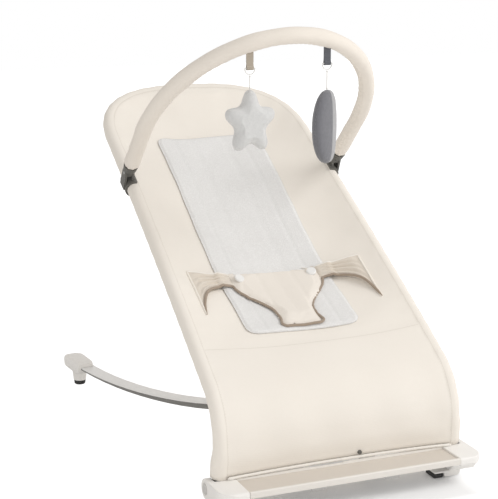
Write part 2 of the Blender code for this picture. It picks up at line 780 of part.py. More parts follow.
def make_hoop(look, carrier):
    stations = hoop_stations(-TUBE_TAIL, 1, 4, BACK_STEPS, 7)
    points = [hoop_station(u, -TUBE_TAIL)[0] for u in stations]
    pipe("seat_hoop", points, TUBE_RADIUS, look, carrier, wall=TUBE_WALL, resolution=4)


def make_sling(look, carrier):
    """One cloth: it wraps the hoop from below and outside, then hangs across it.

    Returns its upper face as a search tree, on which the pieces that lie on it are placed.
    """
    wrap_angles = [radians(-150 + 270 * step / 8) for step in range(9)]
    sheet_steps = (0.08, 0.20, 0.36, 0.56, 0.78, 1.0)
    spine_limit = SEAT_LENGTH - SPINE_END
    rings = []
    for u in hoop_stations(HEM_START, 1, 4, BACK_STEPS, 7):
        centre, outward, upward, along = hoop_station(u, HEM_START)
        radius = CASING_OUTER + hub_flare(along)
        ring = [centre + (outward * cos(angle) + upward * sin(angle)) * radius for angle in wrap_angles]
        rim_x, rim_along = hoop_flat(u, HEM_START)
        spine_along = min(rim_along, spine_limit)
        lip = radius * 0.5 / max(abs(rim_x), 0.05)
        for share in sheet_steps:
            inward = lip + (1 - lip) * share
            flat_x = rim_x * (1 - inward)
            flat_along = rim_along + (spine_along - rim_along) * inward
            middle, _, normal = seat_axes(flat_along)
            point = middle + normal * (radius * 0.87 - sag(spine_along) * sag_share(share))
            point.x = flat_x
            ring.append(point)
        rings.append(ring)
    bm = loft(rings, closed=False, caps=False)
    bmesh.ops.remove_doubles(bm, verts=bm.verts, dist=0.00005)
    bmesh.ops.triangulate(bm, faces=bm.faces)
    cloth = BVHTree.FromBMesh(bm)
    made = add_mesh("seat_sling", bm, look, carrier, 60)
    thick = made.modifiers.new("cloth", "SOLIDIFY")
    thick.thickness = CLOTH
    thick.offset = -1
    return cloth


def draped_pad(layers, rows, lift, thick):
    """A padded piece on the sling, from rows of (distance along, half width)."""
    places = (-1, -0.92, -0.6, -0.3, 0, 0.3, 0.6, 0.92, 1)
    rings = []
    for number, (along, half) in enumerate(rows):
        top, low = [], []
        for place in places:
            at_edge = abs(place) == 1 or number in (0, len(rows) - 1)
            low.append(cloth_point(layers, half * place, along, lift))
            top.append(cloth_point(layers, half * place, along, lift + (PAD_EDGE if at_edge else thick)))
        rings.append(top + low[::-1])
    return loft(rings)


def make_liner(cloth, look, carrier):
    """Returns its faces as a search tree, for the straps and the panel that lie on it."""
    first, last = LINER_ROWS
    half = LINER_HALF_WIDTH
    rows = [(half_row(first), half - 0.014), (half_row(first) + 0.005, half - 0.004)]
    rows += [(half_row(number), half) for number in range(first + 1, last)]
    rows += [(half_row(last) - 0.005, half - 0.004), (half_row(last), half - 0.014)]
    bm = draped_pad([cloth], rows, LINER_PLAY, LINER_THICK)
    liner = BVHTree.FromBMesh(bm)
    add_mesh("seat_liner", bm, look, carrier, 60)
    return liner


def make_waist_panel(layers, look, carrier):
    """T-shaped panel: narrow between the legs, wide at the waist."""
    first, last = WAIST_ROWS
    crotch, top = WAIST_CROTCH_HALF, WAIST_TOP_HALF
    rows = [
        (half_row(first) + 0.007, crotch - 0.006),
        (half_row(first) + 0.013, crotch),
        (half_row(first + 1), crotch),
        (half_row(first + 2), crotch + 0.003),
        (half_row(first + 2) + 0.012, crotch + 0.014),
        (half_row(first + 3) - 0.006, top - 0.010),
        (half_row(first + 3), top - 0.004),
        (half_row(first + 4), top),
        (half_row(last) - 0.006, top - 0.001),
        (half_row(last), top - 0.008),
    ]
    add_mesh("waist_panel", draped_pad(layers, rows, 2 * GAP, WAIST_THICK), look, carrier, 60)


def strap_along():
    """Where the side straps meet the waist panel, measured along the seat."""
    return half_row(WAIST_ROWS[1]) - 0.8 * STRAP_WIDTH


def make_waist_strap(layers, side, name, look, carrier):
    """Side wing that comes off the liner's edge and widens to the seam at the sling's side."""
    edge = LINER_HALF_WIDTH + 0.0025
    steps, cells = 4, 5
    stations = [(WAIST_TOP_HALF + GAP, STRAP_PLAY), (edge, LINER_THICK + STRAP_PLAY)]
    landing = edge + 0.010
    for step in range(steps + 1):
        stations.append((landing + (STRAP_REACH - landing) * step / steps, STRAP_PLAY))
    rings = []
    for x, lift in stations:
        share = (x - WAIST_TOP_HALF) / (STRAP_REACH - WAIST_TOP_HALF)
        low = -STRAP_WIDTH / 2 - WING_DROP * smoothstep(share)
        places = [strap_along() + low + (STRAP_WIDTH / 2 - low) * cell / cells for cell in range(cells + 1)]
        ring = [cloth_point(layers, x, place, lift) for place in places]
        ring += [cloth_point(layers, x, place, lift + STRAP_THICK) for place in reversed(places)]
        rings.append(ring)
    add_mesh(name, mirrored(loft(rings), side), look, carrier)


def make_toggle(layers, side, name, look, carrier):
    """Round fastener that joins a side strap to the panel."""
    x = WAIST_TOP_HALF - TOGGLE_RADIUS - 0.008
    normal = seat_axes(strap_along())[2]
    foot = cloth_point(layers, x, strap_along(), WAIST_THICK + GAP + TOGGLE_PLAY)
    before = cloth_point(layers, x - 0.01, strap_along(), 0)
    beside = cloth_point(layers, x + 0.01, strap_along(), 0) - before
    lean = beside.cross(seat_axes(strap_along())[1]).normalized()
    lean = -lean if lean.dot(normal) < 0 else lean
    bm = rod(foot, foot + lean * TOGGLE_THICK, TOGGLE_RADIUS, 24, TOGGLE_RADIUS * 0.86)
    add_bevel(add_mesh(name, mirrored(bm, side), look, carrier), 0.0008, 1)


def make_piping(cloth, look, carrier):
    """Cord sewn along the front of the hem, just above the plate's back rim."""
    along = HEM_START + PIPING_RADIUS
    count = 24
    reach = HOOP_HALF_FOOT - CASING_OUTER * 0.4
    points = []
    for index in range(count + 1):
        x = -reach + 2 * reach * index / count
        points.append(cloth_point([cloth], x, along, PIPING_RADIUS + HEM_PLAY))
    pipe("hem_piping", points, PIPING_RADIUS, look, carrier, resolution=2)


def make_stud(cloth, name, look, carrier):
    """Snap stud that holds the hem."""
    along = HEM_START + 2 * PIPING_RADIUS + STUD_RADIUS + 0.0008
    normal = seat_axes(along)[2]
    foot = cloth_point([cloth], STUD_X, along, HEM_PLAY)
    bm = rod(foot, foot + normal * STUD_THICK, STUD_RADIUS, 16, STUD_RADIUS * 0.8)
    add_mesh(name, bm, look, carrier)


# Toy bar


def clip_frame():
    """Hoop centre and axes at the clips, and the toy bar's pivot above it."""
    along = CLIP_ALONG
    centre, way, normal = seat_axes(along)
    centre.x = hoop_half_width(along)
    return centre, way, normal


def bar_pivot():
    centre, _, normal = clip_frame()
    place = centre + normal * CLIP_PIVOT_RISE
    return Vector((0, place.y, place.z))


def clip_outline():
    """C round the hoop, open on the inner side, from below the tube over its outside to its top."""
    inner = CASING_OUTER + CLIP_PLAY
    outer = inner + CLIP_WALL
    start, end = radians(-142), radians(102)
    return arc((0, 0), outer, start, end, 18) + arc((0, 0), inner, end, start, 18)


def make_clip(side, name, look, carrier):
    centre, way, normal = clip_frame()

    def place(a, b, c):
        return centre + Vector((a, 0, 0)) + normal * b + way * c

    half = CLIP_LENGTH / 2
    rings = [[place(a, b, c) for a, b in clip_outline()] for c in (-half, half)]
    made = add_mesh(name, mirrored(loft(rings), side), look, carrier)
    pin_x = BAR_HALF_WIDTH - centre.x
    for start in (pin_x - TONGUE_THICK / 2 - GAP - EAR_THICK, pin_x + TONGUE_THICK / 2 + GAP):
        outline = arc((0, CLIP_PIVOT_RISE), EAR_RADIUS, 0, pi, 10)
        foot = 0.0050 if start > 0.010 else CASING_OUTER + 0.0012
        outline += [(-EAR_RADIUS - 0.002, foot), (EAR_RADIUS + 0.002, foot)]
        ear = [[place(a, b, c) for c, b in outline] for a in (start, start + EAR_THICK)]
        tool = add_mesh("guide_ear", mirrored(loft(ear), side), look, carrier)
        add_cut(made, tool, "UNION")
    far = pin_x + TONGUE_THICK / 2 + GAP + EAR_THICK
    shoulder = [
        [place(a, b, c) for c, b in ((-EAR_RADIUS - 0.002, -0.004), (EAR_RADIUS + 0.002, -0.004),
                                     (EAR_RADIUS + 0.002, 0.0075), (-EAR_RADIUS - 0.002, 0.0075))]
        for a in (CASING_OUTER + 0.0015, far)
    ]
    add_cut(made, add_mesh("guide_shoulder", mirrored(loft(shoulder), side), look, carrier), "UNION")
    reach = TONGUE_THICK / 2 + EAR_THICK + 0.004
    bore = rod(
        place(pin_x - reach, CLIP_PIVOT_RISE, 0),
        place(pin_x + reach, CLIP_PIVOT_RISE, 0),
        BAR_PIN_RADIUS + PIN_PLAY,
        16,
    )
    add_cut(made, add_mesh("cutter_ear_bore", mirrored(bore, side), look, carrier))


def make_bar_pin(side, name, look, carrier):
    place = bar_pivot()
    reach = TONGUE_THICK / 2 + EAR_THICK + GAP
    start = Vector((BAR_HALF_WIDTH - reach, place.y, place.z))
    end = Vector((BAR_HALF_WIDTH + reach, place.y, place.z))
    add_mesh(name, mirrored(rod(start, end, BAR_PIN_RADIUS, 16), side), look, carrier)


def bar_way():
    return Vector((0, cos(BAR_TILT), sin(BAR_TILT)))


def make_bar_socket(side, name, look, carrier):
    """Cup on the end of the toy bar, with the tongue that turns between the clip's ears."""
    foot = bar_pivot() + Vector((BAR_HALF_WIDTH, 0, 0))
    way = bar_way()
    half = TONGUE_THICK / 2
    tongue = rod(foot - Vector((half, 0, 0)), foot + Vector((half, 0, 0)), TONGUE_RADIUS, 24)
    made = add_mesh(name, mirrored(tongue, side), look, carrier)
    across = Vector((0, -way.z, way.y))
    neck, neck_end = [], SOCKET_START + 0.002
    for x in (-half, half):
        neck.append([
            foot + Vector((x, 0, 0)) + way * a + across * b
            for a, b in ((0, -0.006), (neck_end, -0.007), (neck_end, 0.007), (0, 0.006))
        ])
    add_cut(made, add_mesh("guide_neck", mirrored(loft(neck), side), look, carrier), "UNION")
    cup = rod(foot + way * SOCKET_START, foot + way * SOCKET_END, SOCKET_RADIUS, 28, SOCKET_RADIUS + 0.0015)
    add_cut(made, add_mesh("guide_cup", mirrored(cup, side), look, carrier), "UNION")
    corners = [
        (SOCKET_START + 0.001, 0.004),
        (SOCKET_START + 0.002, SOCKET_RADIUS + 0.002),
        (SOCKET_END - 0.001, SOCKET_RADIUS + THUMB_TAB_PROUD),
        (SOCKET_END - 0.004, SOCKET_RADIUS - 0.001),
    ]
    tab = []
    for x in (-THUMB_TAB_WIDTH / 2, THUMB_TAB_WIDTH / 2):
        tab.append([foot + Vector((x, 0, 0)) + way * a - across * b for a, b in corners])
    add_cut(made, add_mesh("guide_tab", mirrored(loft(tab), side), look, carrier), "UNION")
    bore = rod(foot + way * SOCKET_FLOOR, foot + way * (SOCKET_END + 0.01), BAR_TUBE_RADIUS + GAP, 24)
    add_cut(made, add_mesh("cutter_cup", mirrored(bore, side), look, carrier))
    pin = rod(foot - Vector((0.012, 0, 0)), foot + Vector((0.012, 0, 0)), BAR_PIN_RADIUS + PIN_PLAY, 16)
    add_cut(made, add_mesh("cutter_tongue", mirrored(pin, side), look, carrier))


def bar_points(start):
    """Centreline of the toy bar from the left leg over the top to the right leg."""
    base, way = bar_pivot(), bar_way()
    leg_steps, count = 2, 24
    flat = [(-BAR_HALF_WIDTH, start + (BAR_LEG - start) * step / leg_steps) for step in range(leg_steps)]
    for step in range(count + 1):
        turn = pi - pi * step / count
        flat.append((BAR_HALF_WIDTH * cos(turn), BAR_LEG + BAR_RISE * sin(turn)))
    flat += [(-x, a) for x, a in reversed(flat[:leg_steps])]
    return [base + Vector((x, 0, 0)) + way * a for x, a in flat]


def make_bar(look_tube, look_sleeve, carrier):
    """Steel tube in a padded sleeve; both have the same stations, so the fit stays even."""
    pipe("toy_bar_tube", bar_points(SOCKET_FLOOR + GAP), BAR_TUBE_RADIUS, look_tube, carrier, BAR_TUBE_WALL)
    padding = SLEEVE_RADIUS - BAR_TUBE_RADIUS - GAP
    pipe("toy_bar_sleeve", bar_points(SOCKET_END + GAP), SLEEVE_RADIUS, look_sleeve, carrier, padding)


def bar_at(x):
    """Centre of the bar and its direction where it passes a given x."""
    turn = atan2(sqrt(1 - (x / BAR_HALF_WIDTH) ** 2), x / BAR_HALF_WIDTH)
    centre = bar_pivot() + Vector((x, 0, 0)) + bar_way() * (BAR_LEG + BAR_RISE * sin(turn))
    tangent = Vector((-BAR_HALF_WIDTH * sin(turn), 0, 0)) + bar_way() * BAR_RISE * cos(turn)
    return centre, -tangent.normalized()


def toy_eye(x):
    """Centre of the eyelet at the bottom of a toy's strap."""
    return bar_at(x)[0] - Vector((0, 0, SLEEVE_RADIUS + TOY_STRAP_DROP))


def make_toy_strap(x, name, look, carrier):
    """Tail sewn into the seam under the padded bar, that ends in a folded eyelet."""
    centre, tangent = bar_at(x)
    half = TOY_STRAP_WIDTH / 2 * 0.9
    eye = toy_eye(x)
    top = centre.z - SLEEVE_RADIUS / 2
    back, front = centre.y - TOY_TAIL_THICK / 2, centre.y + TOY_TAIL_THICK / 2
    tail = prism([(back, top), (front, top), (front, eye.z), (back, eye.z)], x - half, x + half)
    made = add_mesh(name, tail, look, carrier)
    fold = rod((x - half, eye.y, eye.z), (x + half, eye.y, eye.z), EYELET_RADIUS + TOY_STRAP_THICK, 16)
    add_cut(made, add_mesh("guide_fold", fold, look, carrier), "UNION")
    reach = 2 * TOY_STRAP_WIDTH
    under = rod(centre - tangent * reach, centre + tangent * reach, SLEEVE_RADIUS + TOY_STRAP_PLAY, 28)
    add_cut(made, add_mesh("cutter_bar", under, look, carrier))
    eyelet = rod((x - reach, eye.y, eye.z), (x + reach, eye.y, eye.z), EYELET_RADIUS, 16)
    add_cut(made, add_mesh("cutter_eyelet", eyelet, look, carrier))


def make_toy_ring(x, name, look, carrier):
    """Stretched ring through the eyelet: straight in the fold, round below it."""
    eye = toy_eye(x)
    half = TOY_STRAP_WIDTH / 2 + RING_WIRE + 0.0012
    points = [(x - half + 2 * half * step / 3, eye.y, eye.z) for step in range(4)]
    drop = RING_RADIUS + half * 0.5
    for step in range(1, 12):
        turn = pi * step / 12
        points.append((x + half * cos(turn), eye.y, eye.z - drop * sin(turn)))
    pipe(name, points, RING_WIRE, look, carrier, resolution=2, closed=True)


def ring_bottom(x):
    half = TOY_STRAP_WIDTH / 2 + RING_WIRE + 0.0012
    return toy_eye(x) - Vector((0, 0, RING_RADIUS + half * 0.5 + RING_WIRE))


def make_toy_string(x, length, name, look, carrier):
    top = ring_bottom(x) - Vector((0, 0, GAP))
    pipe(name, [top, top - Vector((0, 0, length))], STRING_RADIUS, look, carrier, resolution=2)


def toy_top(x, length):
    return ring_bottom(x) - Vector((0, 0, 2 * GAP + length))


def plump(outline, thick, place, yaw, steps=4):
    """A stuffed shape: an outline in (across, up) that swells to a thickness."""
    across = Vector((cos(yaw), sin(yaw), 0))
    facing = Vector((-sin(yaw), cos(yaw), 0))
    rings = []
    for step in range(-steps, steps + 1):
        lean = step / steps
        shrink = max(0.04, (1 - abs(lean) ** 2.4) ** 0.62)
        depth = thick / 2 * sin(pi / 2 * lean)
        middle = place + facing * depth
        rings.append([middle + across * a * shrink + Vector((0, 0, b * shrink)) for a, b in outline])
    return loft(rings)


def star_outline(count=40):
    """Five soft points, the first one up."""
    points = []
    for index in range(count):
        turn = 2 * pi * index / count
        lobe = 0.5 + 0.5 * cos(5 * turn)
        reach = 0.66 + 0.34 * lobe**1.3
        across, up = STAR_WIDTH / 2 * reach * 1.05, STAR_HEIGHT / 2 * reach * 1.10
        points.append((across * sin(turn), up * cos(turn)))
    return points


def moon_outline(count=26):
    """Half moon: straight at the back, round at the front, with soft tips."""
    points = []
    for index in range(count):
        turn = 2 * pi * index / count
        across = 0.62 * cos(turn) if cos(turn) < 0 else 0.38 * cos(turn) ** 0.5
        points.append((MOON_WIDTH * across, MOON_HEIGHT / 2 * sin(turn)))
    return points


def make_star(look, carrier):
    outline = star_outline()
    tallest = max(b for _, b in outline)
    place = toy_top(STAR_X, STAR_STRING_LENGTH) - Vector((0, 0, tallest))
    add_mesh("star_toy", plump(outline, STAR_THICK, place, 0.0), look, carrier, 80)


def make_moon(look, carrier):
    outline = moon_outline()
    tallest = max(b for _, b in outline)
    place = toy_top(MOON_X, MOON_STRING_LENGTH) - Vector((0, 0, tallest))
    add_mesh("moon_toy", plump(outline, MOON_THICK, place, MOON_YAW), look, carrier, 80)


def build():
    clear_scene()
    shell = material("moulded_beige", (0.66, 0.61, 0.54), 0.5)
    grey = material("moulded_light_grey", (0.72, 0.70, 0.67), 0.5)
    steel = material("coated_steel", (0.70, 0.69, 0.67), 0.4, 0.2)
    bare = material("zinc_steel", (0.60, 0.60, 0.60), 0.35, 1.0)
    rubber = material("foot_rubber", (0.03, 0.03, 0.03), 0.8)
    cotton = material("cream_cotton", (0.84, 0.78, 0.70), 0.9)
    mesh_cloth = material("white_mesh", (0.85, 0.83, 0.80), 0.9)
    charcoal = material("charcoal_plastic", (0.10, 0.10, 0.09), 0.55)
    white = material("white_plastic", (0.88, 0.88, 0.86), 0.4)
    padding = material("padded_cream", (0.80, 0.72, 0.62), 0.9)
    tan_web = material("tan_webbing", (0.42, 0.37, 0.31), 0.9)
    slate_web = material("slate_webbing", (0.12, 0.12, 0.13), 0.9)
    thread = material("white_thread", (0.80, 0.80, 0.80), 0.9)
    pale_plush = material("pale_grey_plush", (0.70, 0.70, 0.69), 0.95)
    slate_plush = material("slate_plush", (0.14, 0.15, 0.17), 0.95)

    sides = ((-1, "left"), (1, "right"))
    seat = pivot("fold_axis", (0, HINGE_Y, HINGE_Z))
    bar = pivot("toy_bar_axis", bar_pivot(), seat)

    cloth = make_sling(cotton, seat)
    layers = [cloth, make_liner(cloth, mesh_cloth, seat)]
    make_front_plate(shell)
    make_cross_bar(bare)
    add_mesh("rear_bow", bow_loft(), steel, None)
    for side, word in sides:
        make_hub(side, f"{word}_hub", grey)
        make_fold_pin(side, f"{word}_fold_pin", bare)
        make_front_foot(side, f"{word}_front_foot", grey)
        make_front_pad(side, f"{word}_front_pad", rubber)
        make_rail(side, f"{word}_rail", steel)
        make_rear_cap(side, f"{word}_rear_cap", grey)
        make_rear_pad(side, f"{word}_rear_pad", rubber)
        press = pivot(f"{word}_button_axis", (side * HUB_OUTER_X, HINGE_Y, HINGE_Z))
        make_button(side, f"{word}_release_button", grey, press)
        make_button_spring(side, f"{word}_button_spring", bare, press)
        make_hub_socket(side, f"{word}_hoop_socket", charcoal, seat)
        make_waist_strap(layers, side, f"{word}_waist_strap", cotton, seat)
        make_toggle(layers, side, f"{word}_waist_toggle", white, seat)
        make_clip(side, f"{word}_bar_clip", charcoal, seat)
        make_bar_pin(side, f"{word}_bar_pin", bare, seat)
        make_bar_socket(side, f"{word}_bar_socket", charcoal, bar)
    make_hoop(steel, seat)
    make_waist_panel(layers, cotton, seat)
    make_piping(cloth, cotton, seat)
    make_stud(cloth, "hem_stud", charcoal, seat)
    make_bar(bare, padding, bar)
    for x, length, word, strap in (
        (STAR_X, STAR_STRING_LENGTH, "star", tan_web),
        (MOON_X, MOON_STRING_LENGTH, "moon", slate_web),
    ):
        make_toy_strap(x, f"{word}_strap", strap, bar)
        swing = pivot(f"{word}_swing_axis", toy_eye(x), bar)
        sway = pivot(f"{word}_sway_axis", ring_bottom(x), swing)
        make_toy_ring(x, f"{word}_ring", white, swing)
        make_toy_string(x, length, f"{word}_string", thread, sway)
        if word == "star":
            make_star(pale_plush, sway)
        else:
            make_moon(slate_plush, sway)


build()
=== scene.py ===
from math import atan2, cos, pi, radians, sin, sqrt

import bmesh
import bpy
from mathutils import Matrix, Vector
from mathutils.bvhtree import BVHTree


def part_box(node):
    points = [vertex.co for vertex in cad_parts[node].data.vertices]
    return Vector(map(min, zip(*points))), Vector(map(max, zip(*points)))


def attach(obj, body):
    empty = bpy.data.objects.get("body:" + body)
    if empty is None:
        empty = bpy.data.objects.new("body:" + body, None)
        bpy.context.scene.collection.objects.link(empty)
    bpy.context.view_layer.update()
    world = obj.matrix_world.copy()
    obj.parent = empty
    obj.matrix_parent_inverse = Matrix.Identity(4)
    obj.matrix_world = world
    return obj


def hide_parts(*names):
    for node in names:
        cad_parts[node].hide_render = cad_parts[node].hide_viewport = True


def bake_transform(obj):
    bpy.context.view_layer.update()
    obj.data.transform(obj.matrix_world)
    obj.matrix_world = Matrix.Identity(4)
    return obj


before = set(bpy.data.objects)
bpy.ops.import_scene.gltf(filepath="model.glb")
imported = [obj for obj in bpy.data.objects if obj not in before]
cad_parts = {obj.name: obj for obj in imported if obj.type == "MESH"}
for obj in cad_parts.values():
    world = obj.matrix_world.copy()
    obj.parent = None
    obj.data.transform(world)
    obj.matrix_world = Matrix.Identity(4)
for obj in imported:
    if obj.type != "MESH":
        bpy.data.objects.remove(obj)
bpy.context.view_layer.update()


# Camera: a long lens at the foot end, a little to the left and above the seat. It
# stands so far off that the head end looks nearly as wide as the foot end.
eye, aim = Vector((-0.8383, -1.9970, 0.7864)), Vector((-0.0381, -0.0500, 0.3038))
lens_length, film_width, lens_shift = 100.2, 36.0, (-0.0046, 0.0024)


def aimed(name, data, place, target):
    """A camera or lamp that stands at a place and looks at a target."""
    made = bpy.data.objects.new(name, data)
    made.location = place
    made.rotation_euler = (target - place).to_track_quat("-Z", "Y").to_euler()
    bpy.context.collection.objects.link(made)
    return made


bpy.context.scene.view_settings.view_transform = "Standard"
camera = aimed("camera", bpy.data.cameras.new("camera"), eye, aim)
camera.data.lens, camera.data.sensor_width = lens_length, film_width
camera.data.shift_x, camera.data.shift_y = lens_shift
bpy.context.scene.camera = camera


# Studio: a white surround, a broad key lamp from the front right and a weaker one from
# the left. The floor looks white to the camera, except round the front plate and under
# the gap behind it, where it keeps the soft shadow.
class Wire:
    """A socket of a shader that can be used in sums, and the one way to add nodes."""

    def __init__(self, tree, socket=None):
        self.tree, self.socket = tree, socket

    def node(self, kind, settings=None, values=None, output=0):
        made = self.tree.nodes.new("ShaderNode" + kind)
        for name, value in (settings or {}).items():
            setattr(made, name, value)
        for name, value in (values or {}).items():
            if isinstance(value, Wire):
                value.feed(made, name)
            else:
                made.inputs[name].default_value = value
        return Wire(self.tree, made.outputs[output])

    def feed(self, node, name):
        """Link this value to a socket of a node."""
        self.tree.links.new(self.socket, node.inputs[name])

    def maths(self, operation, *others):
        return self.node("Math", {"operation": operation}, dict(enumerate((self, *others))))

    def __add__(self, other):
        return self.maths("ADD", other)

    def __sub__(self, other):
        return self.maths("SUBTRACT", other)

    def __rsub__(self, other):
        return self.node("Math", {"operation": "SUBTRACT"}, {0: other, 1: self})

    def __mul__(self, other):
        return self.maths("MULTIPLY", other)

    def __lt__(self, other):
        return self.maths("LESS_THAN", other)

    def __gt__(self, other):
        return self.maths("GREATER_THAN", other)

    def __abs__(self):
        return self.maths("ABSOLUTE")

    __radd__, __rmul__ = __add__, __mul__

    def near(self, place, width):
        """1 within a width of a place, 0 elsewhere."""
        return self.maths("COMPARE", place, width)

    def wave(self, pitch):
        """A sine between -1 and 1 that comes again at each pitch of this length."""
        return (self * (2 * pi / pitch)).maths("SINE")

    def ramp(self, low, high, kind="LINEAR"):
        """0 up to a low value and 1 from a high one."""
        ends = {"Value": self, "From Min": low, "From Max": high}
        return self.node("MapRange", {"interpolation_type": kind}, ends)

    def parts(self):
        """The three coordinates of a vector."""
        split = self.node("SeparateXYZ", None, {0: self}).socket.node
        return [Wire(self.tree, socket) for socket in split.outputs]

    def tint(self, low, high):
        """A colour between two, by this value from 0 to 1. The low one may be a wire."""
        first = low if isinstance(low, Wire) else (*low, 1)
        pair = {"Factor": self, 6: first, 7: (*high, 1)}
        return self.node("Mix", {"data_type": "RGBA"}, pair, 2)


world = bpy.data.worlds.new("studio")
bpy.context.scene.world = world
world.use_nodes = True
sky, background = Wire(world.node_tree), world.node_tree.nodes["Background"]
straight_on = sky.node("LightPath", output="Is Camera Ray")
seen = straight_on.maths("MAXIMUM", sky.node("LightPath", output="Is Glossy Ray"))
(seen * 0.40 + 0.60).feed(background, "Strength")
straight_on.tint((1, 0.978, 0.952), (1, 1, 1)).feed(background, "Color")

lamp_target = Vector((0, 0, 0.25))
for name, place, size, power in (
    ("key", Vector((1.9, -1.2, 2.0)), 1.6, 37.0),
    ("fill", Vector((-1.7, -2.1, 0.9)), 1.8, 11.5),
):
    lamp = bpy.data.lights.new(name, "AREA")
    lamp.size, lamp.energy = size, power
    aimed(name, lamp, place, lamp_target)

floor_half, floor_drop = 6, 0.0005
plate_line, gap_place = -0.325, (0.065, -0.19, 0)
shadow_end, white_start, far_start, far_end = 0.160, 0.205, 0.45, 1.0

floor = bpy.data.objects.new("floor", bpy.data.meshes.new("floor"))
bm = bmesh.new()
bmesh.ops.create_grid(bm, x_segments=1, y_segments=1, size=floor_half)
bm.to_mesh(floor.data)
bm.free()
floor.location.z = -floor_drop
bpy.context.collection.objects.link(floor)
white = bpy.data.materials.new("studio_floor")
white.use_nodes = True
wires = Wire(white.node_tree)
wires.tree.nodes.remove(wires.tree.nodes["Principled BSDF"])
matt = wires.node("BsdfDiffuse", values={"Color": (0.97, 0.97, 0.97, 1)})
glow = wires.node("Emission", values={"Color": (1, 1, 1, 1), "Strength": 1.25})
spot = wires.node("TexCoord", output=3)
across, along, _ = spot.parts()
off_plate = abs(across).maths("MAXIMUM", abs(along - plate_line) * 2.6)
off_gap = wires.node("VectorMath", {"operation": "DISTANCE"}, {0: spot, 1: gap_place}, 1)
clear = off_plate.maths("MINIMUM", off_gap * 1.4).ramp(shadow_end, white_start, "SMOOTHSTEP")
far = wires.node("VectorMath", {"operation": "LENGTH"}, {0: spot}, 1).ramp(far_start, far_end)
share = wires.node("LightPath", output="Is Camera Ray") * (clear * 0.80 + far * 0.15 + 0.05)
surface = wires.node("MixShader", values={0: share, 1: matt, 2: glow})
surface.feed(wires.tree.nodes["Material Output"], "Surface")
floor.data.materials.append(white)


# Front plate: a moulded tray along the foot end, beige, with raised rims; shade is painted
# darker on the tray's floor between them. The mould leaves a fine grain on it, and the
# cloth's hem stands just behind its back rim.
def finish(name, roughness):
    """A new finish: its material, a wire to hang nodes on, and its shader."""
    made = bpy.data.materials.new(name)
    made.use_nodes = True
    shader = made.node_tree.nodes["Principled BSDF"]
    shader.inputs["Roughness"].default_value = roughness
    return made, Wire(made.node_tree), shader


def noise(place, scale, detail, rough=0.5):
    values = {"Vector": place, "Scale": scale, "Detail": detail, "Roughness": rough}
    return place.node("TexNoise", None, values)


def bump(shader, height, distance, strength=1.0):
    """Let a height in 0 to 1 stand out of the surface by a distance in metres."""
    values = {"Strength": strength, "Distance": distance, "Height": height}
    height.node("Bump", None, values).feed(shader, "Normal")


def moulded(name, low, high, roughness, grain=0.00006):
    """Moulded plastic: an even colour with faint flow marks, and a sparked grain."""
    made, wires, shader = finish(name, roughness)
    place = wires.node("TexCoord", output=3)
    flow = noise(place, 9.0, 3.0, 0.6)
    flow.tint(low, high).feed(shader, "Base Color")
    bump(shader, noise(place, 900.0, 2.0), grain)
    (flow * 0.12 + (roughness - 0.06)).feed(shader, "Roughness")
    return made


def recolour(look, region, second):
    """Give a look a second colour where a region of its places is 1."""
    shader = look.node_tree.nodes["Principled BSDF"]
    first = Wire(look.node_tree, shader.inputs["Base Color"].links[0].from_socket)
    mask = region(first.node("TexCoord", output=3))
    mask.tint(first, second).feed(shader, "Base Color")


def dress(look, *nodes):
    """Give CAD nodes their finish."""
    for node in nodes:
        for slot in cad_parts[node].material_slots:
            slot.material = look


def middle_of(node):
    lowest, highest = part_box(node)
    return (lowest + highest) / 2


plate_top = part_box("front_plate")[1].z
plate_middle = middle_of("front_plate").y
tray_drop, tray_band, tray_half = 0.003, 0.0008, 0.0235


def tray_painted_shade(place):
    _, y, z = place.parts()
    return z.near(plate_top - tray_drop, tray_band) * y.near(plate_middle, tray_half)


plate_look = moulded("plate_beige", (0.76, 0.725, 0.675), (0.81, 0.775, 0.725), 0.42)
# Painted shade: the tray's floor between the rims is coloured darker taupe.
recolour(plate_look, tray_painted_shade, (0.66, 0.605, 0.54))
dress(plate_look, "front_plate")


# Steel of the base: a cross bar inside the plate, two flat rails under the seat and the
# curved bow at the back. The bow is powder coated pale, with its side below the top bevel
# painted dark as shade.
def powder_coat(name, low, high):
    made, wires, shader = finish(name, 0.34)
    place = wires.node("TexCoord", output=3)
    noise(place, 6.0, 2.0).tint(low, high).feed(shader, "Base Color")
    bump(shader, noise(place, 420.0, 1.0), 0.00005)
    shader.inputs["Coat Weight"].default_value = 0.25
    shader.inputs["Coat Roughness"].default_value = 0.2
    return made


def bare_steel(name):
    made, wires, shader = finish(name, 0.32)
    cloud = noise(wires.node("TexCoord", output=3), 60.0, 3.0)
    cloud.tint((0.52, 0.52, 0.52), (0.68, 0.68, 0.67)).feed(shader, "Base Color")
    (cloud * 0.22 + 0.22).feed(shader, "Roughness")
    shader.inputs["Metallic"].default_value = 1.0
    return made


bow_top, bow_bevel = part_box("rear_bow")[1].z, 0.0016


def shade_below_bevel(place):
    return place.parts()[2] < bow_top - bow_bevel


pale_low, pale_high = (0.84, 0.835, 0.825), (0.88, 0.875, 0.865)
bow_look = powder_coat("bow_coat_painted_shade", pale_low, pale_high)
# Painted shade: below the top bevel the bow's side is coloured nearly black.
recolour(bow_look, shade_below_bevel, (0.22, 0.215, 0.205))
dress(bow_look, "rear_bow")
dress(powder_coat("bow_coat", pale_low, pale_high), "seat_hoop")
# Painted shade: the rails get a mid-grey coat, darker than the bow's, for the shadow under the
# plate.
shaded_rail_look = powder_coat("rail_coat_painted_shade", (0.50, 0.49, 0.475), (0.56, 0.55, 0.535))
dress(shaded_rail_look, "left_rail", "right_rail")
zinc = bare_steel("zinc_plate")
dress(zinc, "front_cross_bar", "toy_bar_tube")


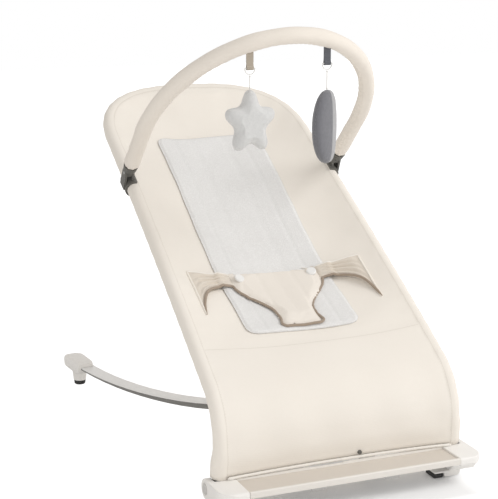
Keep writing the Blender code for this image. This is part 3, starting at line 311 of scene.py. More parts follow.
# Hubs, feet, buttons and the bow's end caps: light grey mouldings on rubber pads. Each
# hub holds the fold pin and a button on a conical steel spring, whose inner end stays on
# the pin.
pale_plastic = moulded("shell_light_grey", (0.86, 0.84, 0.81), (0.90, 0.88, 0.85), 0.45)
button_plastic = moulded("button_grey", (0.60, 0.59, 0.57), (0.64, 0.63, 0.61), 0.35)


def soft_rubber(name):
    made, wires, shader = finish(name, 0.75)
    dust = noise(wires.node("TexCoord", output=3), 150.0, 4.0)
    dust.tint((0.020, 0.020, 0.021), (0.055, 0.054, 0.052)).feed(shader, "Base Color")
    bump(shader, dust, 0.0002)
    return made


rubber = soft_rubber("pad_rubber")
for side in ("left", "right"):
    dress(pale_plastic, f"{side}_hub", f"{side}_front_foot", f"{side}_rear_cap")
    dress(rubber, f"{side}_front_pad", f"{side}_rear_pad")
    dress(button_plastic, f"{side}_release_button")
    dress(zinc, f"{side}_fold_pin", f"{side}_bar_pin")
    spring = f"{side}_button_spring"
    coil = bpy.data.objects.new(f"{side}_button_coil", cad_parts[spring].data.copy())
    coil.data.materials.clear()
    coil.data.materials.append(zinc)
    bpy.context.collection.objects.link(coil)
    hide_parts(spring)
    corners = (corner.copy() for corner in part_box(spring))
    pin_end, button_end = sorted(corners, key=lambda corner: abs(corner.x))
    button_end.y, button_end.z = pin_end.y, pin_end.z
    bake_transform(coil)
    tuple(pin_end)
    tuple(button_end)


# Knuckles at the foot of the hoop: charcoal mouldings that turn on the fold pins and
# grip the tube. The toy bar's clips and end sockets are made of the same plastic.
charcoal_low, charcoal_high = (0.095, 0.092, 0.083), (0.150, 0.145, 0.132)
charcoal = moulded("charcoal_plastic", charcoal_low, charcoal_high, 0.5, 0.00012)
for side in ("left", "right"):
    dress(charcoal, f"{side}_hoop_socket", f"{side}_bar_clip", f"{side}_bar_socket")
dress(charcoal, "hem_stud")


# Seat hoop: the steel tube inside the sling's casing. Its side view goes up from the
# hub, round the knee and back to the head end, and its outline narrows and rounds there.
hinge = middle_of("left_fold_pin")
riser_lean, riser_length = radians(97.9), 0.031
knee_radius, knee_turn = 0.092, radians(65.2)
back_length, back_turn = 0.694, radians(5.1)
knee_length = knee_radius * knee_turn
seat_length = riser_length + knee_length + back_length
half_foot, half_head, head_corner, head_power = 0.185, 0.170, 0.150, 2.7
hoop_corner, hoop_foot, head_share = seat_length - head_corner, 0.0022, 0.27
foot_y = hinge.y - (plate_top - hinge.z) / -sin(riser_lean) * cos(riser_lean)


def seat_axes(along):
    """Middle of the seat at hoop height, the way along the seat and the way out of it."""
    straight = min(along, riser_length)
    heading, left = riser_lean, along - straight
    y, z = foot_y + straight * cos(heading), plate_top + straight * sin(heading)
    for length, turn, part in (
        (knee_length, knee_turn, min(left, knee_length)),
        (back_length, back_turn, max(left - knee_length, 0)),
    ):
        after = heading - part * turn / length
        y += length / turn * (sin(heading) - sin(after))
        z += length / turn * (cos(after) - cos(heading))
        heading = after
    middle = Vector((0, y, z))
    return middle, Vector((0, cos(heading), sin(heading))), Vector((0, -sin(heading), cos(heading)))


def half_width(along):
    return half_foot + (half_head - half_foot) * along / seat_length


def hoop_flat(share):
    """The hoop laid flat, as (x, along), for a share of its length from -1 to 1."""
    side, reach = (1 if share > 0 else -1), abs(share)
    if reach > head_share:
        along = hoop_corner + (hoop_foot - hoop_corner) * (reach - head_share) / (1 - head_share)
        return side * half_width(along), along
    angle = pi / 2 * reach / head_share
    along = hoop_corner + head_corner * cos(angle) ** (2 / head_power)
    return side * half_width(hoop_corner) * sin(angle) ** (2 / head_power), along


def hoop_place(share):
    x, along = hoop_flat(share)
    place = seat_axes(along)[0]
    place.x = x
    return place


# Sling: one piece of cream cotton, cut in a seat panel and a front panel, with a casing
# sewn round its sides and head through which the hoop runs. It hangs in a shallow
# hollow, and the casing's gathers end a few centimetres inside.
def rise(value, length):
    """A smooth step from 0 at a value of 0 to 1 at a length."""
    share = min(max(value / length, 0.0), 1.0)
    return share * share * (3 - 2 * share)


def fade(value, length):
    """A smooth step from 1 at a value of 0 to 0 at a length."""
    return 1 - rise(value, length)


casing_radius, casing_share = 0.0116, 0.3
wrap_start, wrap_turn = -150, 270
hub_sleeve_end, hub_swell = 0.045, 0.0022
spine_end, front_seam = seat_length - 0.19, 0.205
clip_along, clip_reach = 0.578, 0.018
foot_sag, seat_sag, head_lift = 0.006, 0.042, 0.014
pucker_depth, gather_depth, groove_depth = 0.00035, 0.0007, 0.0012
pull_depth, hollow_depth, seam_depth = 0.0011, 0.0014, 0.0011
stitch_line, stitch_pitch, groove_line, cross_seam = 0.0065, 0.0042, 0.0035, -0.0775
sling_wall = 0.0018


def sag(along):
    """How deep the middle of the cloth hangs under the hoop."""
    share = along / seat_length
    return foot_sag + seat_sag * rise(share - 0.16, 0.32) - head_lift * rise(share - 0.52, 0.26)


def casing_at(along):
    """Casing radius: wider where the cloth passes over the hub's sleeve."""
    return casing_radius + hub_swell * rise(hub_sleeve_end - along, 0.017)


def sling_place(share, across):
    """Point on the cloth, its place in the flat cut, and its place from the sewn edge.

    Across goes round the tube up to the casing's share, then to the middle at 1."""
    centre, (x, along) = hoop_place(share), hoop_flat(share)
    tangent = (hoop_place(min(share + 0.004, 1)) - hoop_place(max(share - 0.004, -1))).normalized()
    outward = seat_axes(along)[2].cross(tangent).normalized()
    upward = tangent.cross(outward)
    radius = casing_at(along)
    off_clip = rise(abs(along - clip_along) - clip_reach, 0.03)
    if across <= casing_share:
        angle = radians(wrap_start + wrap_turn * across / casing_share)
        pucker = pucker_depth * off_clip * sin(share * 190 + 2 * sin(angle))
        reach = radius + pucker * (0.5 + 0.5 * cos(angle - 1.0))
        point = centre + (outward * cos(angle) + upward * sin(angle)) * reach
        return point, (x, along), (share * 1.02, (across - casing_share) * 0.1)
    inner = (across - casing_share) / (1 - casing_share)
    spine = min(along, spine_end)
    lip = radius * 0.5 / max(abs(x), 0.05)
    inward = lip + (1 - lip) * inner
    flat_x, flat_along = x * (1 - inward), along + (spine - along) * inward
    middle, _, normal = seat_axes(flat_along)
    width = sqrt((flat_x - x) ** 2 + (flat_along - along) ** 2)
    lift = radius * 0.87 - sag(spine) * (1 - (1 - inner) ** 2.3)
    gather = gather_depth * off_clip * sin(share * 150 + 3 * sin(share * 17))
    lift += gather * fade(width, 0.045) - groove_depth * fade(abs(width - 0.0035), 0.004)
    pull = pull_depth * sin(flat_x * 70 + 8 * flat_along) * rise(width, 0.03)
    lift += pull * rise(flat_along - 0.01, 0.04) * fade(flat_along, 0.20)
    hollow = hollow_depth * sin(flat_x * 38 + sin(flat_along * 40)) * sin(flat_along * 46)
    lift += hollow * rise(flat_along - 0.14, 0.08) * rise(width, 0.05)
    lift -= seam_depth * fade(abs(flat_along - front_seam), 0.004) * rise(width, 0.01)
    point = middle + normal * lift
    point.x = flat_x
    return point, (flat_x, flat_along), (share * 1.02, width)


def woven(name, low, high, pitch=0.0013, sewn=False):
    """Plain weave of cotton: crossing threads and slubs, with the sling's seams if sewn."""
    made, wires, shader = finish(name, 0.88)
    place = wires.node("TexCoord", output=3)
    x, y, z = place.parts()
    along = y * 0.87 + z * 0.5
    threads = x.wave(pitch) * 0.25 + along.wave(pitch) * 0.25 + 0.5
    slubs, cloud = noise(place, 260.0, 3.0, 0.65), noise(place, 7.0, 3.0, 0.55)
    height = threads * 0.45 + slubs * 0.55
    shade = (cloud * 0.55 + threads * 0.2 + slubs * 0.25).tint(low, high)
    if sewn:
        around, inward, _ = wires.node("UVMap", {"uv_map": "edge"}).parts()
        stitch = inward.near(stitch_line, 0.0005) * (around.wave(stitch_pitch) > -0.35)
        groove = inward.near(groove_line, 0.0009)
        cross = along.near(cross_seam, 0.0005) * (inward > 0.008)
        height = height * 0.35 + stitch * 0.6 - groove * 0.5 - cross * 0.5
        line = (stitch * 0.3).maths("MAXIMUM", groove * 0.4 + cross * 0.35)
        shade = line.tint(shade, (low[0] * 0.72, low[1] * 0.70, low[2] * 0.66))
    shade.feed(shader, "Base Color")
    bump(shader, height, 0.0003, 0.8)
    shader.inputs["Sheen Weight"].default_value = 0.15
    shader.inputs["Sheen Roughness"].default_value = 0.5
    shader.inputs["Specular IOR Level"].default_value = 0.2
    return made


def cloth_object(name, bm, look):
    made = bpy.data.objects.new(name, bpy.data.meshes.new(name))
    bm.to_mesh(made.data)
    bm.free()
    made.data.materials.append(look)
    made.data.shade_smooth()
    bpy.context.collection.objects.link(made)
    return made


def belongs(made, body, slot, *nodes):
    """Let a piece ride on a body and stand for its CAD nodes."""
    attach(made, body)
    if nodes:
        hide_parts(*nodes)


def thicken(made, wall, offset=0):
    cloth_wall = made.modifiers.new("cloth", "SOLIDIFY")
    cloth_wall.thickness, cloth_wall.offset = wall, offset


cotton_look = woven("cream_cotton", (0.830, 0.775, 0.700), (0.900, 0.855, 0.790), sewn=True)
bm = bmesh.new()
bmesh.ops.create_grid(bm, x_segments=220, y_segments=56, size=1)
# One map lays the cloth out flat, the other counts from its sewn edge for the stitches.
flat_map, edge_map = bm.loops.layers.uv.new("cloth"), bm.loops.layers.uv.new("edge")
laid = {vert: sling_place(vert.co.x, (vert.co.y + 1) / 2) for vert in bm.verts}
for vert in bm.verts:
    vert.co = laid[vert][0]
for face in bm.faces:
    for loop in face.loops:
        loop[flat_map].uv, loop[edge_map].uv = laid[loop.vert][1:]
bmesh.ops.remove_doubles(bm, verts=bm.verts, dist=0.00006)
bmesh.ops.recalc_face_normals(bm, faces=bm.faces)
seat_middle, _, seat_up = seat_axes(0.45)
inner_face = min(bm.faces, key=lambda face: (face.calc_center_median() - seat_middle).length)
if inner_face.normal.dot(seat_up) < 0:
    bmesh.ops.reverse_faces(bm, faces=bm.faces)
cloth = BVHTree.FromBMesh(bm)
sling = cloth_object("sling_cloth", bm, cotton_look)
thicken(sling, sling_wall, -1)
belongs(sling, "seat", "cream_cotton", "seat_sling")


# Liner: white air mesh, quilted to a thin wadding, sewn down the middle of the seat.
# Its edges are rolled under and its quilting runs in shallow channels along the seat.
knee_end = riser_length + knee_length
probe_height = 0.1


def row(number):
    """Distance along the seat of the sewing rows, counted from the knee."""
    return knee_end + (hoop_corner - knee_end) * number / 18


liner_low, liner_high, liner_half, liner_thick = row(3), row(19), 0.092, 0.0042
liner_corner, liner_rim, liner_lift = 0.016, 0.006, 0.0006
quilt_pitch, quilt_depth = 0.0307, 0.0009


def over(tree, x, along, lift):
    """Point at a height over a layer of cloth that lies on the seat."""
    middle, _, normal = seat_axes(along)
    above = Vector((x, middle.y, middle.z)) + normal * probe_height
    return tree.ray_cast(above, -normal)[0] + normal * lift


def wrap(stations, sides, place):
    """A grid rolled to a tube, each point put by its share of the length and its angle."""
    bm = bmesh.new()
    bmesh.ops.create_grid(bm, x_segments=stations, y_segments=sides, size=1)
    for vert in bm.verts:
        vert.co = place((vert.co.x + 1) / 2, pi * (vert.co.y + 1))
    bmesh.ops.remove_doubles(bm, verts=bm.verts, dist=0.00001)
    bmesh.ops.holes_fill(bm, edges=[edge for edge in bm.edges if edge.is_boundary])
    return bm


def corner_cut(inset, radius):
    """How far a rounded corner keeps a side in, at an inset from the end."""
    return radius - sqrt(max(radius**2 - max(radius - inset, 0) ** 2, 0))


def flat_round(half, angle, power):
    """The x of a point on a flattened tube: a lower power makes its edge blunter."""
    return half * abs(cos(angle)) ** power * (1 if cos(angle) > 0 else -1)


def air_mesh(name):
    made, wires, shader = finish(name, 0.85)
    place = wires.node("TexCoord", output=3)
    edge_mode, values = {"feature": "DISTANCE_TO_EDGE"}, {"Vector": place, "Scale": 520.0}
    cells = wires.node("TexVoronoi", edge_mode, values)
    tone = (cells > 0.13) * -0.45 + noise(place, 14.0, 3.0) * 0.4 + 0.6
    tone.tint((0.66, 0.65, 0.635), (0.87, 0.865, 0.855)).feed(shader, "Base Color")
    bump(shader, cells, 0.0004)
    shader.inputs["Sheen Weight"].default_value = 0.1
    return made


def liner_place(share, angle):
    along = liner_low + (liner_high - liner_low) * share
    inset = min(along - liner_low, liner_high - along)
    half = liner_half - corner_cut(inset, liner_corner)
    x = flat_round(half, angle, 0.55)
    rim = rise(min(inset, half - abs(x)), liner_rim)
    channel = quilt_depth * fade(abs((x / quilt_pitch + 0.5) % 1 - 0.5), 0.12) * rim
    thick = liner_thick * (0.45 + 0.55 * rim) - channel
    return over(cloth, x, along, liner_lift + (thick if sin(angle) > 0 else 0.0))


def piece(name, bm, look, body, slot, *nodes):
    """Make a finished piece of a mesh, let it ride on a body and stand for CAD nodes."""
    bmesh.ops.recalc_face_normals(bm, faces=bm.faces)
    made = cloth_object(name, bm, look)
    belongs(made, body, slot, *nodes)
    return made


bm = wrap(150, 144, liner_place)
liner_tree = BVHTree.FromBMesh(bm)
liner = piece("liner_pad", bm, air_mesh("white_mesh"), "seat", "white_mesh", "seat_liner")


# Waist panel: a cotton bib up the middle of the seat, narrow at the crotch and wide at
# the waist. Its wadding is blown up by a simulation; it rests on the liner and is held
# by a round snap fastener at each side.
stuffing_frames = 20


def stuffed(bm, name, voxel, pressure, cap, rounds=1):
    """Blow a closed shape up, as stuffing does to a sewn bag, by no more than a cap."""
    made = bpy.data.objects.new(name, bpy.data.meshes.new(name))
    bm.to_mesh(made.data)
    bm.free()
    bpy.context.collection.objects.link(made)

    def settle():
        graph = bpy.context.evaluated_depsgraph_get()
        made.data = bpy.data.meshes.new_from_object(made.evaluated_get(graph))
        made.modifiers.clear()

    cells = made.modifiers.new("cells", "REMESH")
    cells.mode, cells.voxel_size = "VOXEL", voxel
    settle()
    start = [vert.co.copy() for vert in made.data.vertices]
    swell = made.modifiers.new("swell", "CLOTH")
    swell.settings.quality = 6
    swell.settings.mass = 0.15
    swell.settings.use_pressure = True
    swell.settings.uniform_pressure_force = pressure
    swell.settings.effector_weights.gravity = 0
    for number in range(1, stuffing_frames + 1):
        bpy.context.scene.frame_set(number)
    settle()
    bpy.context.scene.frame_set(1)
    for vert, before in zip(made.data.vertices, start):
        moved = vert.co - before
        if moved.length > cap:
            vert.co = before + moved * (cap / moved.length)
    rounder = made.modifiers.new("rounder", "SUBSURF")
    rounder.levels = rounder.render_levels = rounds
    settle()
    return made


def cover(made, look, body, slot, node):
    """Give a stuffed piece its cloth, its body and the CAD node that it stands for."""
    made.data.materials.clear()
    made.data.materials.append(look)
    made.data.shade_smooth()
    belongs(made, body, slot, node)


panel_look = woven("panel_cotton", (0.800, 0.740, 0.665), (0.885, 0.835, 0.770), pitch=0.0011)
panel_low, panel_high, panel_length = row(3) + 0.007, row(8), 0.144
widen_low, widen_high = row(4.4), row(6.8)
crotch_half, waist_more, panel_corner = 0.036, 0.042, 0.011
panel_lift, panel_rim, panel_loft = 0.0008, 0.0012, 0.0030


def panel_half(along):
    """Half width: narrow at the crotch, wide at the waist, with rounded corners."""
    half = crotch_half + waist_more * rise(along - widen_low, widen_high - widen_low)
    return half - corner_cut(min(along - panel_low, panel_high - along), panel_corner)


def panel_place(share, angle):
    along = panel_low + (panel_high - panel_low) * share
    half = panel_half(along) + 0.0008
    x = flat_round(half, angle, 0.6)
    rim = rise(min(min(share, 1 - share) * panel_length, half - abs(x)), 0.012)
    thick = panel_rim + panel_loft * rim if sin(angle) > 0 else 0.0
    return over(liner_tree, x, along, panel_lift + thick)


panel = stuffed(wrap(90, 96, panel_place), "waist_pad", voxel=0.0025, pressure=2.5, cap=0.004)
panel_up = seat_axes(row(5))[2]
for vert in panel.data.vertices:
    hit, _, _, depth = liner_tree.ray_cast(vert.co + panel_up * probe_height, -panel_up)
    if hit and depth < probe_height + panel_lift:
        vert.co = hit + panel_up * panel_lift
cover(panel, panel_look, "seat", "cream_cotton", "waist_panel")


# Side wings: gathered cotton from the panel's top corners to a seam in the sling's
# side. Their lower edges make the leg openings together with the panel's sides.
# Painted shade: the wings' cotton is coloured a darker, greyer tan than the sling's cream.
shaded_wing_look = woven("wing_cotton_painted_shade", (0.640, 0.575, 0.495), (0.800, 0.735, 0.650), pitch=0.0011)
wing_start, wing_end, wing_line = 0.0735, 0.1455, row(8) - 0.0224
wing_half, wing_drop, wing_wall = 0.014, 0.083, 0.0011
fold_height, fold_count = 0.0019, 4.2
wing_lift, seam_sink, panel_sink = 0.0022, 0.0014, 0.0018
liner_side, liner_step, step_width = 0.0925, 0.0050, 0.010
both_sides = (("left", -1), ("right", 1))


def wing_place(side, share, across):
    """Point by its share of the way out, and across from the lower edge to the upper."""
    x = wing_start + (wing_end - wing_start) * share
    low = -wing_half - wing_drop * (1 - sqrt(1 - 0.98 * share**2.6))
    along = wing_line + low + (wing_half - low) * across
    lift = wing_lift - seam_sink * rise(share - 0.8, 0.2)
    lift += liner_step * fade(x - liner_side, step_width)
    lift -= panel_sink * fade(x - wing_start, 0.004)
    gather = fold_height * rise(share, 0.4) * rise(1 - share, 0.25)
    turn = 2 * pi * fold_count * across + 2.2 * share + 0.6 * sin(9 * across)
    return over(cloth, side * x, along, lift + gather * (1 + sin(turn)))


for word, side in both_sides:
    bm = bmesh.new()
    bmesh.ops.create_grid(bm, x_segments=48, y_segments=72, size=1)
    for vert in bm.verts:
        vert.co = wing_place(side, (vert.co.x + 1) / 2, (vert.co.y + 1) / 2)
    wing = piece(f"{word}_wing", bm, shaded_wing_look, "seat", "cream_cotton", f"{word}_waist_strap")
    thicken(wing, wing_wall)


# Bindings of the waist restraint: a tan one that runs round both leg openings and
# under the crotch, a cream one along the wings' top edge and a welt where they are sewn
# into the sling. Each is folded over its edge and stitched.
leg_radius, top_radius, welt_radius = 0.0020, 0.0012, 0.0017
cord_sides, knot_place, knot_half = 12, 2.5, 3


def heading_at(points, index):
    """Way along a line of points at one of them."""
    return points[min(index + 1, len(points) - 1)] - points[max(index - 1, 0)]


def cord_round(name, points, radius, look, body, slot, *nodes, twist=0.0, knots=0.0):
    """A round cord or edging along points; a twist lays two strands round each other."""
    last = len(points) - 1
    slanting = Vector((0.31, 0.83, 0.47))
    first_side = heading_at(points, 0).cross(slanting).normalized()

    def place(share, angle):
        index = round(share * last)
        way = heading_at(points, index).normalized()
        side = (first_side - way * first_side.dot(way)).normalized()
        end = min(index, last - index)
        reach = radius * (1 + knots * max(0, 1 - ((end - knot_place) / knot_half) ** 2))
        if twist:
            reach *= 0.92 + 0.16 * abs(cos(angle - twist * index))
        if end == 0:
            reach *= 0.4
        return points[index] + (side * cos(angle) + way.cross(side) * sin(angle)) * reach

    return piece(name, wrap(last, cord_sides, place), look, body, slot, *nodes)


side_top, side_steps, crotch_steps = wing_line - wing_half, 80, 14
outline = []
for step in range(side_steps + 1):
    along = side_top + (panel_low - side_top) * sin(pi / 2 * step / side_steps)
    outline.append(Vector((-panel_half(along), along)))
corner_x = outline[-1].x
for step in range(1, crotch_steps + 1):
    outline.append(Vector((corner_x * (1 - step / crotch_steps), panel_low)))

panel_tree = BVHTree.FromObject(panel, bpy.context.evaluated_depsgraph_get())
probe_out, gap_reach, edge_sink = 0.006, 8, 0.0006
beside, sideways, gaps = [], [], []
for index, (x, along) in enumerate(outline):
    way = heading_at(outline, index)
    outward = (Vector((way.y, 0, 0)) - seat_axes(along)[1] * way.x).normalized()
    point = over(liner_tree, x, along, leg_radius)
    hit = panel_tree.ray_cast(point + outward * probe_out, -outward, 2 * probe_out)[0]
    beside.append(point)
    sideways.append(outward)
    gaps.append((hit - point).dot(outward) if hit else 0.0)
panel_edge = []
for index, (point, outward) in enumerate(zip(beside, sideways)):
    close_by = gaps[max(index - gap_reach, 0) : index + gap_reach + 1]
    panel_edge.append(point + outward * (sum(close_by) / len(close_by) - edge_sink))

edge_steps, lower_points = 40, 37
edge_lift, top_lift = Vector((0, 0, 0.0009)), Vector((0, 0, 0.0008))
edge_line = [
    wing_place(-1, 1 - step / edge_steps, 0.0) + edge_lift for step in range(lower_points)
]
edge_line += panel_edge
edge_line += [Vector((-point.x, point.y, point.z)) for point in reversed(edge_line[:-1])]
# The leg binding's dark tan is partly its own colour and partly painted shade along the leg
# openings.
shaded_tan_edge = woven("tan_binding_painted_shade", (0.30, 0.235, 0.180), (0.43, 0.35, 0.28), pitch=0.0009)
cord_round("leg_edge", edge_line, leg_radius, shaded_tan_edge, "seat", "cream_cotton")

piping_look = woven("piping_cotton", (0.84, 0.80, 0.74), (0.90, 0.87, 0.82), pitch=0.0008)
shares = [step / edge_steps for step in range(edge_steps + 1)]
for word, side in both_sides:
    top_line = [wing_place(side, share, 1.0) + top_lift for share in shares]
    cord_round(f"{word}_wing_edge", top_line, top_radius, piping_look, "seat", "cream_cotton")
    seam_line = [wing_place(side, 1.0, share) for share in shares]
    cord_round(f"{word}_wing_seam", seam_line, welt_radius, cotton_look, "seat", "cream_cotton")


# Snap fasteners and toy rings: hard white plastic. The fasteners have a raised rim and
# join the wings to the panel; the rings hang in the folds of the toy bar's straps.
white_plastic = moulded("white_plastic", (0.80, 0.795, 0.78), (0.85, 0.845, 0.83), 0.35)
dress(white_plastic, "left_waist_toggle", "right_waist_toggle", "star_ring", "moon_ring")


# Hem piping: a bright cotton-covered cord of two strands, sewn along the foot hem just
# over the plate. It ends short of the knuckles at both sides.
hem_radius, hem_along, hem_lift, hem_steps = 0.0021, 0.0043, 0.0030, 60
hem_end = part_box("hem_piping")[1].x - hem_radius
hem_line = [
    over(cloth, hem_end * (step / hem_steps - 1), hem_along, hem_lift)
    for step in range(2 * hem_steps + 1)
]
cord_round(
    "hem_cord", hem_line, hem_radius, piping_look, "seat", "cream_cotton", "hem_piping", twist=0.9
)


# Toy bar: a thin steel tube in a cotton sleeve filled with foam. The sleeve is sewn
# along its underside, puckers on the inside of the bend and is drawn in at its ends.
bar_pivot, bar_lean, bar_tube_radius = middle_of("left_bar_pin"), radians(136.4), 0.006
bar_half, bar_leg, bar_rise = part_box("toy_bar_tube")[1].x - bar_tube_radius, 0.109, 0.2235
bar_way = Vector((0, cos(bar_lean), sin(bar_lean)))
sleeve_radius, sleeve_start, sleeve_length = 0.0132, 0.0218, 0.78
bend_pucker, end_gather, foam_swell, sleeve_seam = 0.00055, 0.0004, 0.00035, 0.0008
leg_steps, arch_steps, arch_inside = 30, 140, 0.06


def bar_place(x, reach):
    return Vector((x, bar_pivot.y, bar_pivot.z)) + bar_way * reach


sleeve_line = []
for step in range(leg_steps):
    reach = sleeve_start + (bar_leg - sleeve_start) * step / leg_steps
    sleeve_line.append(bar_place(-bar_half, reach))
for step in range(arch_steps + 1):
    angle = pi - pi * step / arch_steps
    sleeve_line.append(bar_place(bar_half * cos(angle), bar_leg + bar_rise * sin(angle)))
for step in range(1, leg_steps + 1):
    reach = bar_leg - (bar_leg - sleeve_start) * step / leg_steps
    sleeve_line.append(bar_place(bar_half, reach))
bar_middle = bar_place(0, bar_leg + arch_inside)
across_bar = Vector((1, 0, 0)).cross(bar_way)


def sleeve_place(share, angle):
    """Angle 0 is the outside of the bend, pi its inside."""
    last = len(sleeve_line) - 1
    spot = share * last
    index = min(int(spot), last - 1)
    centre = sleeve_line[index].lerp(sleeve_line[index + 1], spot - index)
    way = (sleeve_line[min(index + 2, last)] - sleeve_line[max(index - 1, 0)]).normalized()
    outer = way.cross(across_bar).normalized()
    if outer.dot(centre - bar_middle) < 0:
        outer = -outer
    end = min(share, 1 - share) * sleeve_length
    inside = max(0.0, -cos(angle)) ** 2
    reach = sleeve_radius * (1 - 0.20 * fade(end, 0.010)) - 0.0006
    reach += bend_pucker * inside * sin(share * 520 + 3 * sin(share * 61)) * rise(end, 0.05)
    reach += end_gather * sin(9 * angle + 4 * sin(share * 20)) * fade(end, 0.03)
    reach += foam_swell * sin(share * 71) * sin(share * 23 + 1)
    reach -= sleeve_seam * fade(abs(angle - pi * 0.80), 0.14)
    return centre + (outer * cos(angle) + across_bar * sin(angle)) * reach


sleeve_look = woven("sleeve_cotton", (0.800, 0.735, 0.655), (0.880, 0.825, 0.755), pitch=0.0012)
bm = wrap(620, 48, sleeve_place)
sleeve = piece("bar_sleeve", bm, sleeve_look, "toy_bar", "padded_cream", "toy_bar_sleeve")


# Toy straps: ribbed webbing, sewn into the sleeve's seam and folded round a plastic
# ring. The star's strap is tan and the moon's is slate; rows of stitches close the fold.
star_x, moon_x = -0.0670, 0.056
eye_drop, ring_drop, eye_radius = sleeve_radius + 0.0226, 0.01045, 0.0024
web_half, web_length, web_wall, web_bevel = 0.0054, 0.0236, 0.0012, 0.0003
eye_share, tail_gap, eye_gap, seam_bite = 0.25, 0.0007, 0.0017, 0.0008
sleeve_tree = BVHTree.FromObject(sleeve, bpy.context.evaluated_depsgraph_get())


def bar_at(x):
    """Centre of the bar where it passes x."""
    angle = atan2(sqrt(1 - (x / bar_half) ** 2), x / bar_half)
    return bar_place(x, bar_leg + bar_rise * sin(angle))


def webbing(name, low, high):
    made, wires, shader = finish(name, 0.8)
    across, along, _ = wires.node("UVMap", {"uv_map": "web"}).parts()
    ribs, weft = across.wave(0.0009) * 0.5 + 0.5, along.wave(0.0006) * 0.5 + 0.5
    sewn = abs(across).near(0.0045, 0.0003) * (along.wave(0.0026) > -0.2)
    sewn = sewn + abs(along).near(0.0078, 0.0003) + abs(along).near(0.0205, 0.0003)
    height = ribs * 0.5 + weft * 0.3 + sewn * 0.4
    (height * 0.8).tint(low, high).feed(shader, "Base Color")
    bump(shader, height, 0.00025)
    return made


def strap_place(x, share, across):
    """Up the front of the tail from the eye at 0, into the seam at 0.5 and down the back."""
    eye = bar_at(x) - Vector((0, 0, eye_drop))
    reach = min(share, 1 - share) * 2
    side = -1 if share < 0.5 else 1
    if reach < eye_share:
        angle = pi / 2 * reach / eye_share
        y, z = side * eye_radius * sin(angle), -eye_radius * cos(angle)
        return eye + Vector((across, y, z)), reach
    climb = (reach - eye_share) / (1 - eye_share)
    below = Vector((x + across, eye.y, eye.z))
    seam_height = sleeve_tree.ray_cast(below, Vector((0, 0, 1)))[3] + seam_bite
    apart = tail_gap + eye_gap * fade(climb, 0.3)
    return eye + Vector((across, side * apart, seam_height * climb)), reach


def toy_strap(x, name, look, slot, node):
    bm = bmesh.new()
    bmesh.ops.create_grid(bm, x_segments=64, y_segments=10, size=1)
    web = bm.loops.layers.uv.new("web")
    flat = {}
    for vert in bm.verts:
        share, across = (vert.co.x + 1) / 2, web_half * vert.co.y
        vert.co, reach = strap_place(x, share, across)
        flat[vert] = (across, reach * web_length)
    for face in bm.faces:
        for loop in face.loops:
            loop[web].uv = flat[loop.vert]
    bmesh.ops.remove_doubles(bm, verts=bm.verts, dist=0.00001)
    made = piece(name, bm, look, "toy_bar", slot, node)
    thicken(made, web_wall)
    rounded = made.modifiers.new("edges", "BEVEL")
    rounded.width, rounded.segments, rounded.limit_method = web_bevel, 2, "ANGLE"


tan_web = webbing("tan_webbing", (0.40, 0.345, 0.275), (0.58, 0.515, 0.43))
slate_web = webbing("slate_webbing", (0.075, 0.08, 0.095), (0.17, 0.175, 0.195))
toy_strap(star_x, "star_web", tan_web, "tan_webbing", "star_strap")
toy_strap(moon_x, "moon_web", slate_web, "slate_webbing", "moon_strap")


# Strings: cotton thread of two strands, knotted to each ring and sewn into the toy's
# top seam. Each hangs straight down under the weight of its toy.
thread = woven("cotton_thread", (0.74, 0.72, 0.69), (0.86, 0.845, 0.82), pitch=0.0006)
thread_radius, thread_steps, under_ring = 0.0009, 48, 0.0003
for toy, x, length in (("star", star_x, 0.0205), ("moon", moon_x, 0.0285)):
    top = bar_at(x) - Vector((0, 0, eye_drop + ring_drop + under_ring))
    drops = [length * step / thread_steps for step in range(thread_steps + 1)]
    line = [top - Vector((0, 0, drop)) for drop in drops]
    cord_round(
        f"{toy}_thread", line, thread_radius, thread, toy, "white_thread", f"{toy}_string",
        twist=0.75, knots=0.6,
    )


# Toys: a pale grey star and a slate crescent of short plush, each cut in two halves and
# stuffed. The seam runs round the edge; the moon's straight side is a lighter grey, partly
# its lighter fabric and partly painted light.
toy_shrink, toy_voxel, toy_pressure, toy_cap = 0.965, 0.0028, 4.0, 0.005
seam_half, star_seam, moon_seam, box_slack = 0.0022, 0.0012, 0.0010, 0.001


def plush(name, low, high):
    made, wires, shader = finish(name, 0.95)
    place = wires.node("TexCoord", output=3)
    pile, tufts = noise(place, 950.0, 3.0, 0.7), noise(place, 210.0, 2.0)
    (pile * 0.5 + tufts * 0.5).tint(low, high).feed(shader, "Base Color")
    bump(shader, pile * 0.6 + tufts * 0.4, 0.0009, 0.9)
    shader.inputs["Sheen Weight"].default_value = 0.35
    shader.inputs["Sheen Roughness"].default_value = 0.6
    return made


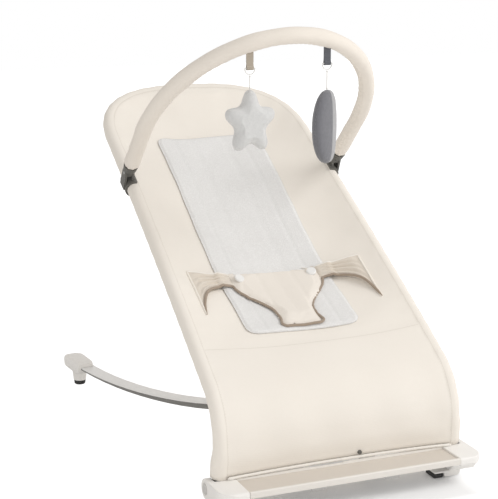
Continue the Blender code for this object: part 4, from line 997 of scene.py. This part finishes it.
def sewn_toy(node, name, facing, depth, look, body, slot):
    """Stuff a toy and draw the seam in where its two halves meet."""
    lowest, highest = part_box(node)
    middle = (lowest + highest) / 2
    bm = bmesh.new()
    bm.from_mesh(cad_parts[node].data)
    bmesh.ops.remove_doubles(bm, verts=bm.verts, dist=0.00001)
    for vert in bm.verts:
        vert.co = middle + (vert.co - middle) * toy_shrink
    made = stuffed(bm, name, toy_voxel, toy_pressure, toy_cap, rounds=2)
    for axis in (0, 2):
        spread = [vert.co[axis] for vert in made.data.vertices]
        start, grow = min(spread), (highest[axis] - lowest[axis]) / (max(spread) - min(spread))
        for vert in made.data.vertices:
            vert.co[axis] = lowest[axis] + (vert.co[axis] - start) * grow
    outward = [vert.normal.copy() for vert in made.data.vertices]
    for vert, normal in zip(made.data.vertices, outward):
        rim = fade(abs((vert.co - middle).dot(facing)), seam_half)
        stitch = 0.6 + 0.4 * sin(atan2(vert.co.z - middle.z, vert.co.x - middle.x) * 34)
        vert.co -= normal * depth * rim * stitch
        for axis in range(3):
            low, high = lowest[axis] - box_slack, highest[axis] + box_slack
            vert.co[axis] = min(max(vert.co[axis], low), high)
        vert.co.z = min(vert.co.z, highest.z)
    cover(made, look, body, slot, node)


moon_yaw, pale_offset = radians(32), 0.007
moon_facing = Vector((-sin(moon_yaw), cos(moon_yaw), 0))
moon_across = Vector((cos(moon_yaw), sin(moon_yaw), 0))
pale_start = moon_across.dot(middle_of("moon_toy")) + pale_offset


def on_pale_lit_side(place):
    pair = {0: place, 1: tuple(moon_across)}
    return place.node("VectorMath", {"operation": "DOT_PRODUCT"}, pair, 1) > pale_start


star_look = plush("pale_grey_plush", (0.55, 0.55, 0.545), (0.77, 0.77, 0.76))
star_facing = Vector((0, 1, 0))
sewn_toy("star_toy", "star_plush", star_facing, star_seam, star_look, "star", "pale_grey_plush")
moon_look = plush("slate_plush", (0.110, 0.111, 0.124), (0.205, 0.206, 0.228))
# The moon's straight side is coloured lighter grey: partly its lighter fabric, partly painted
# light.
recolour(moon_look, on_pale_lit_side, (0.38, 0.38, 0.39))
sewn_toy("moon_toy", "moon_plush", moon_facing, moon_seam, moon_look, "moon", "slate_plush")
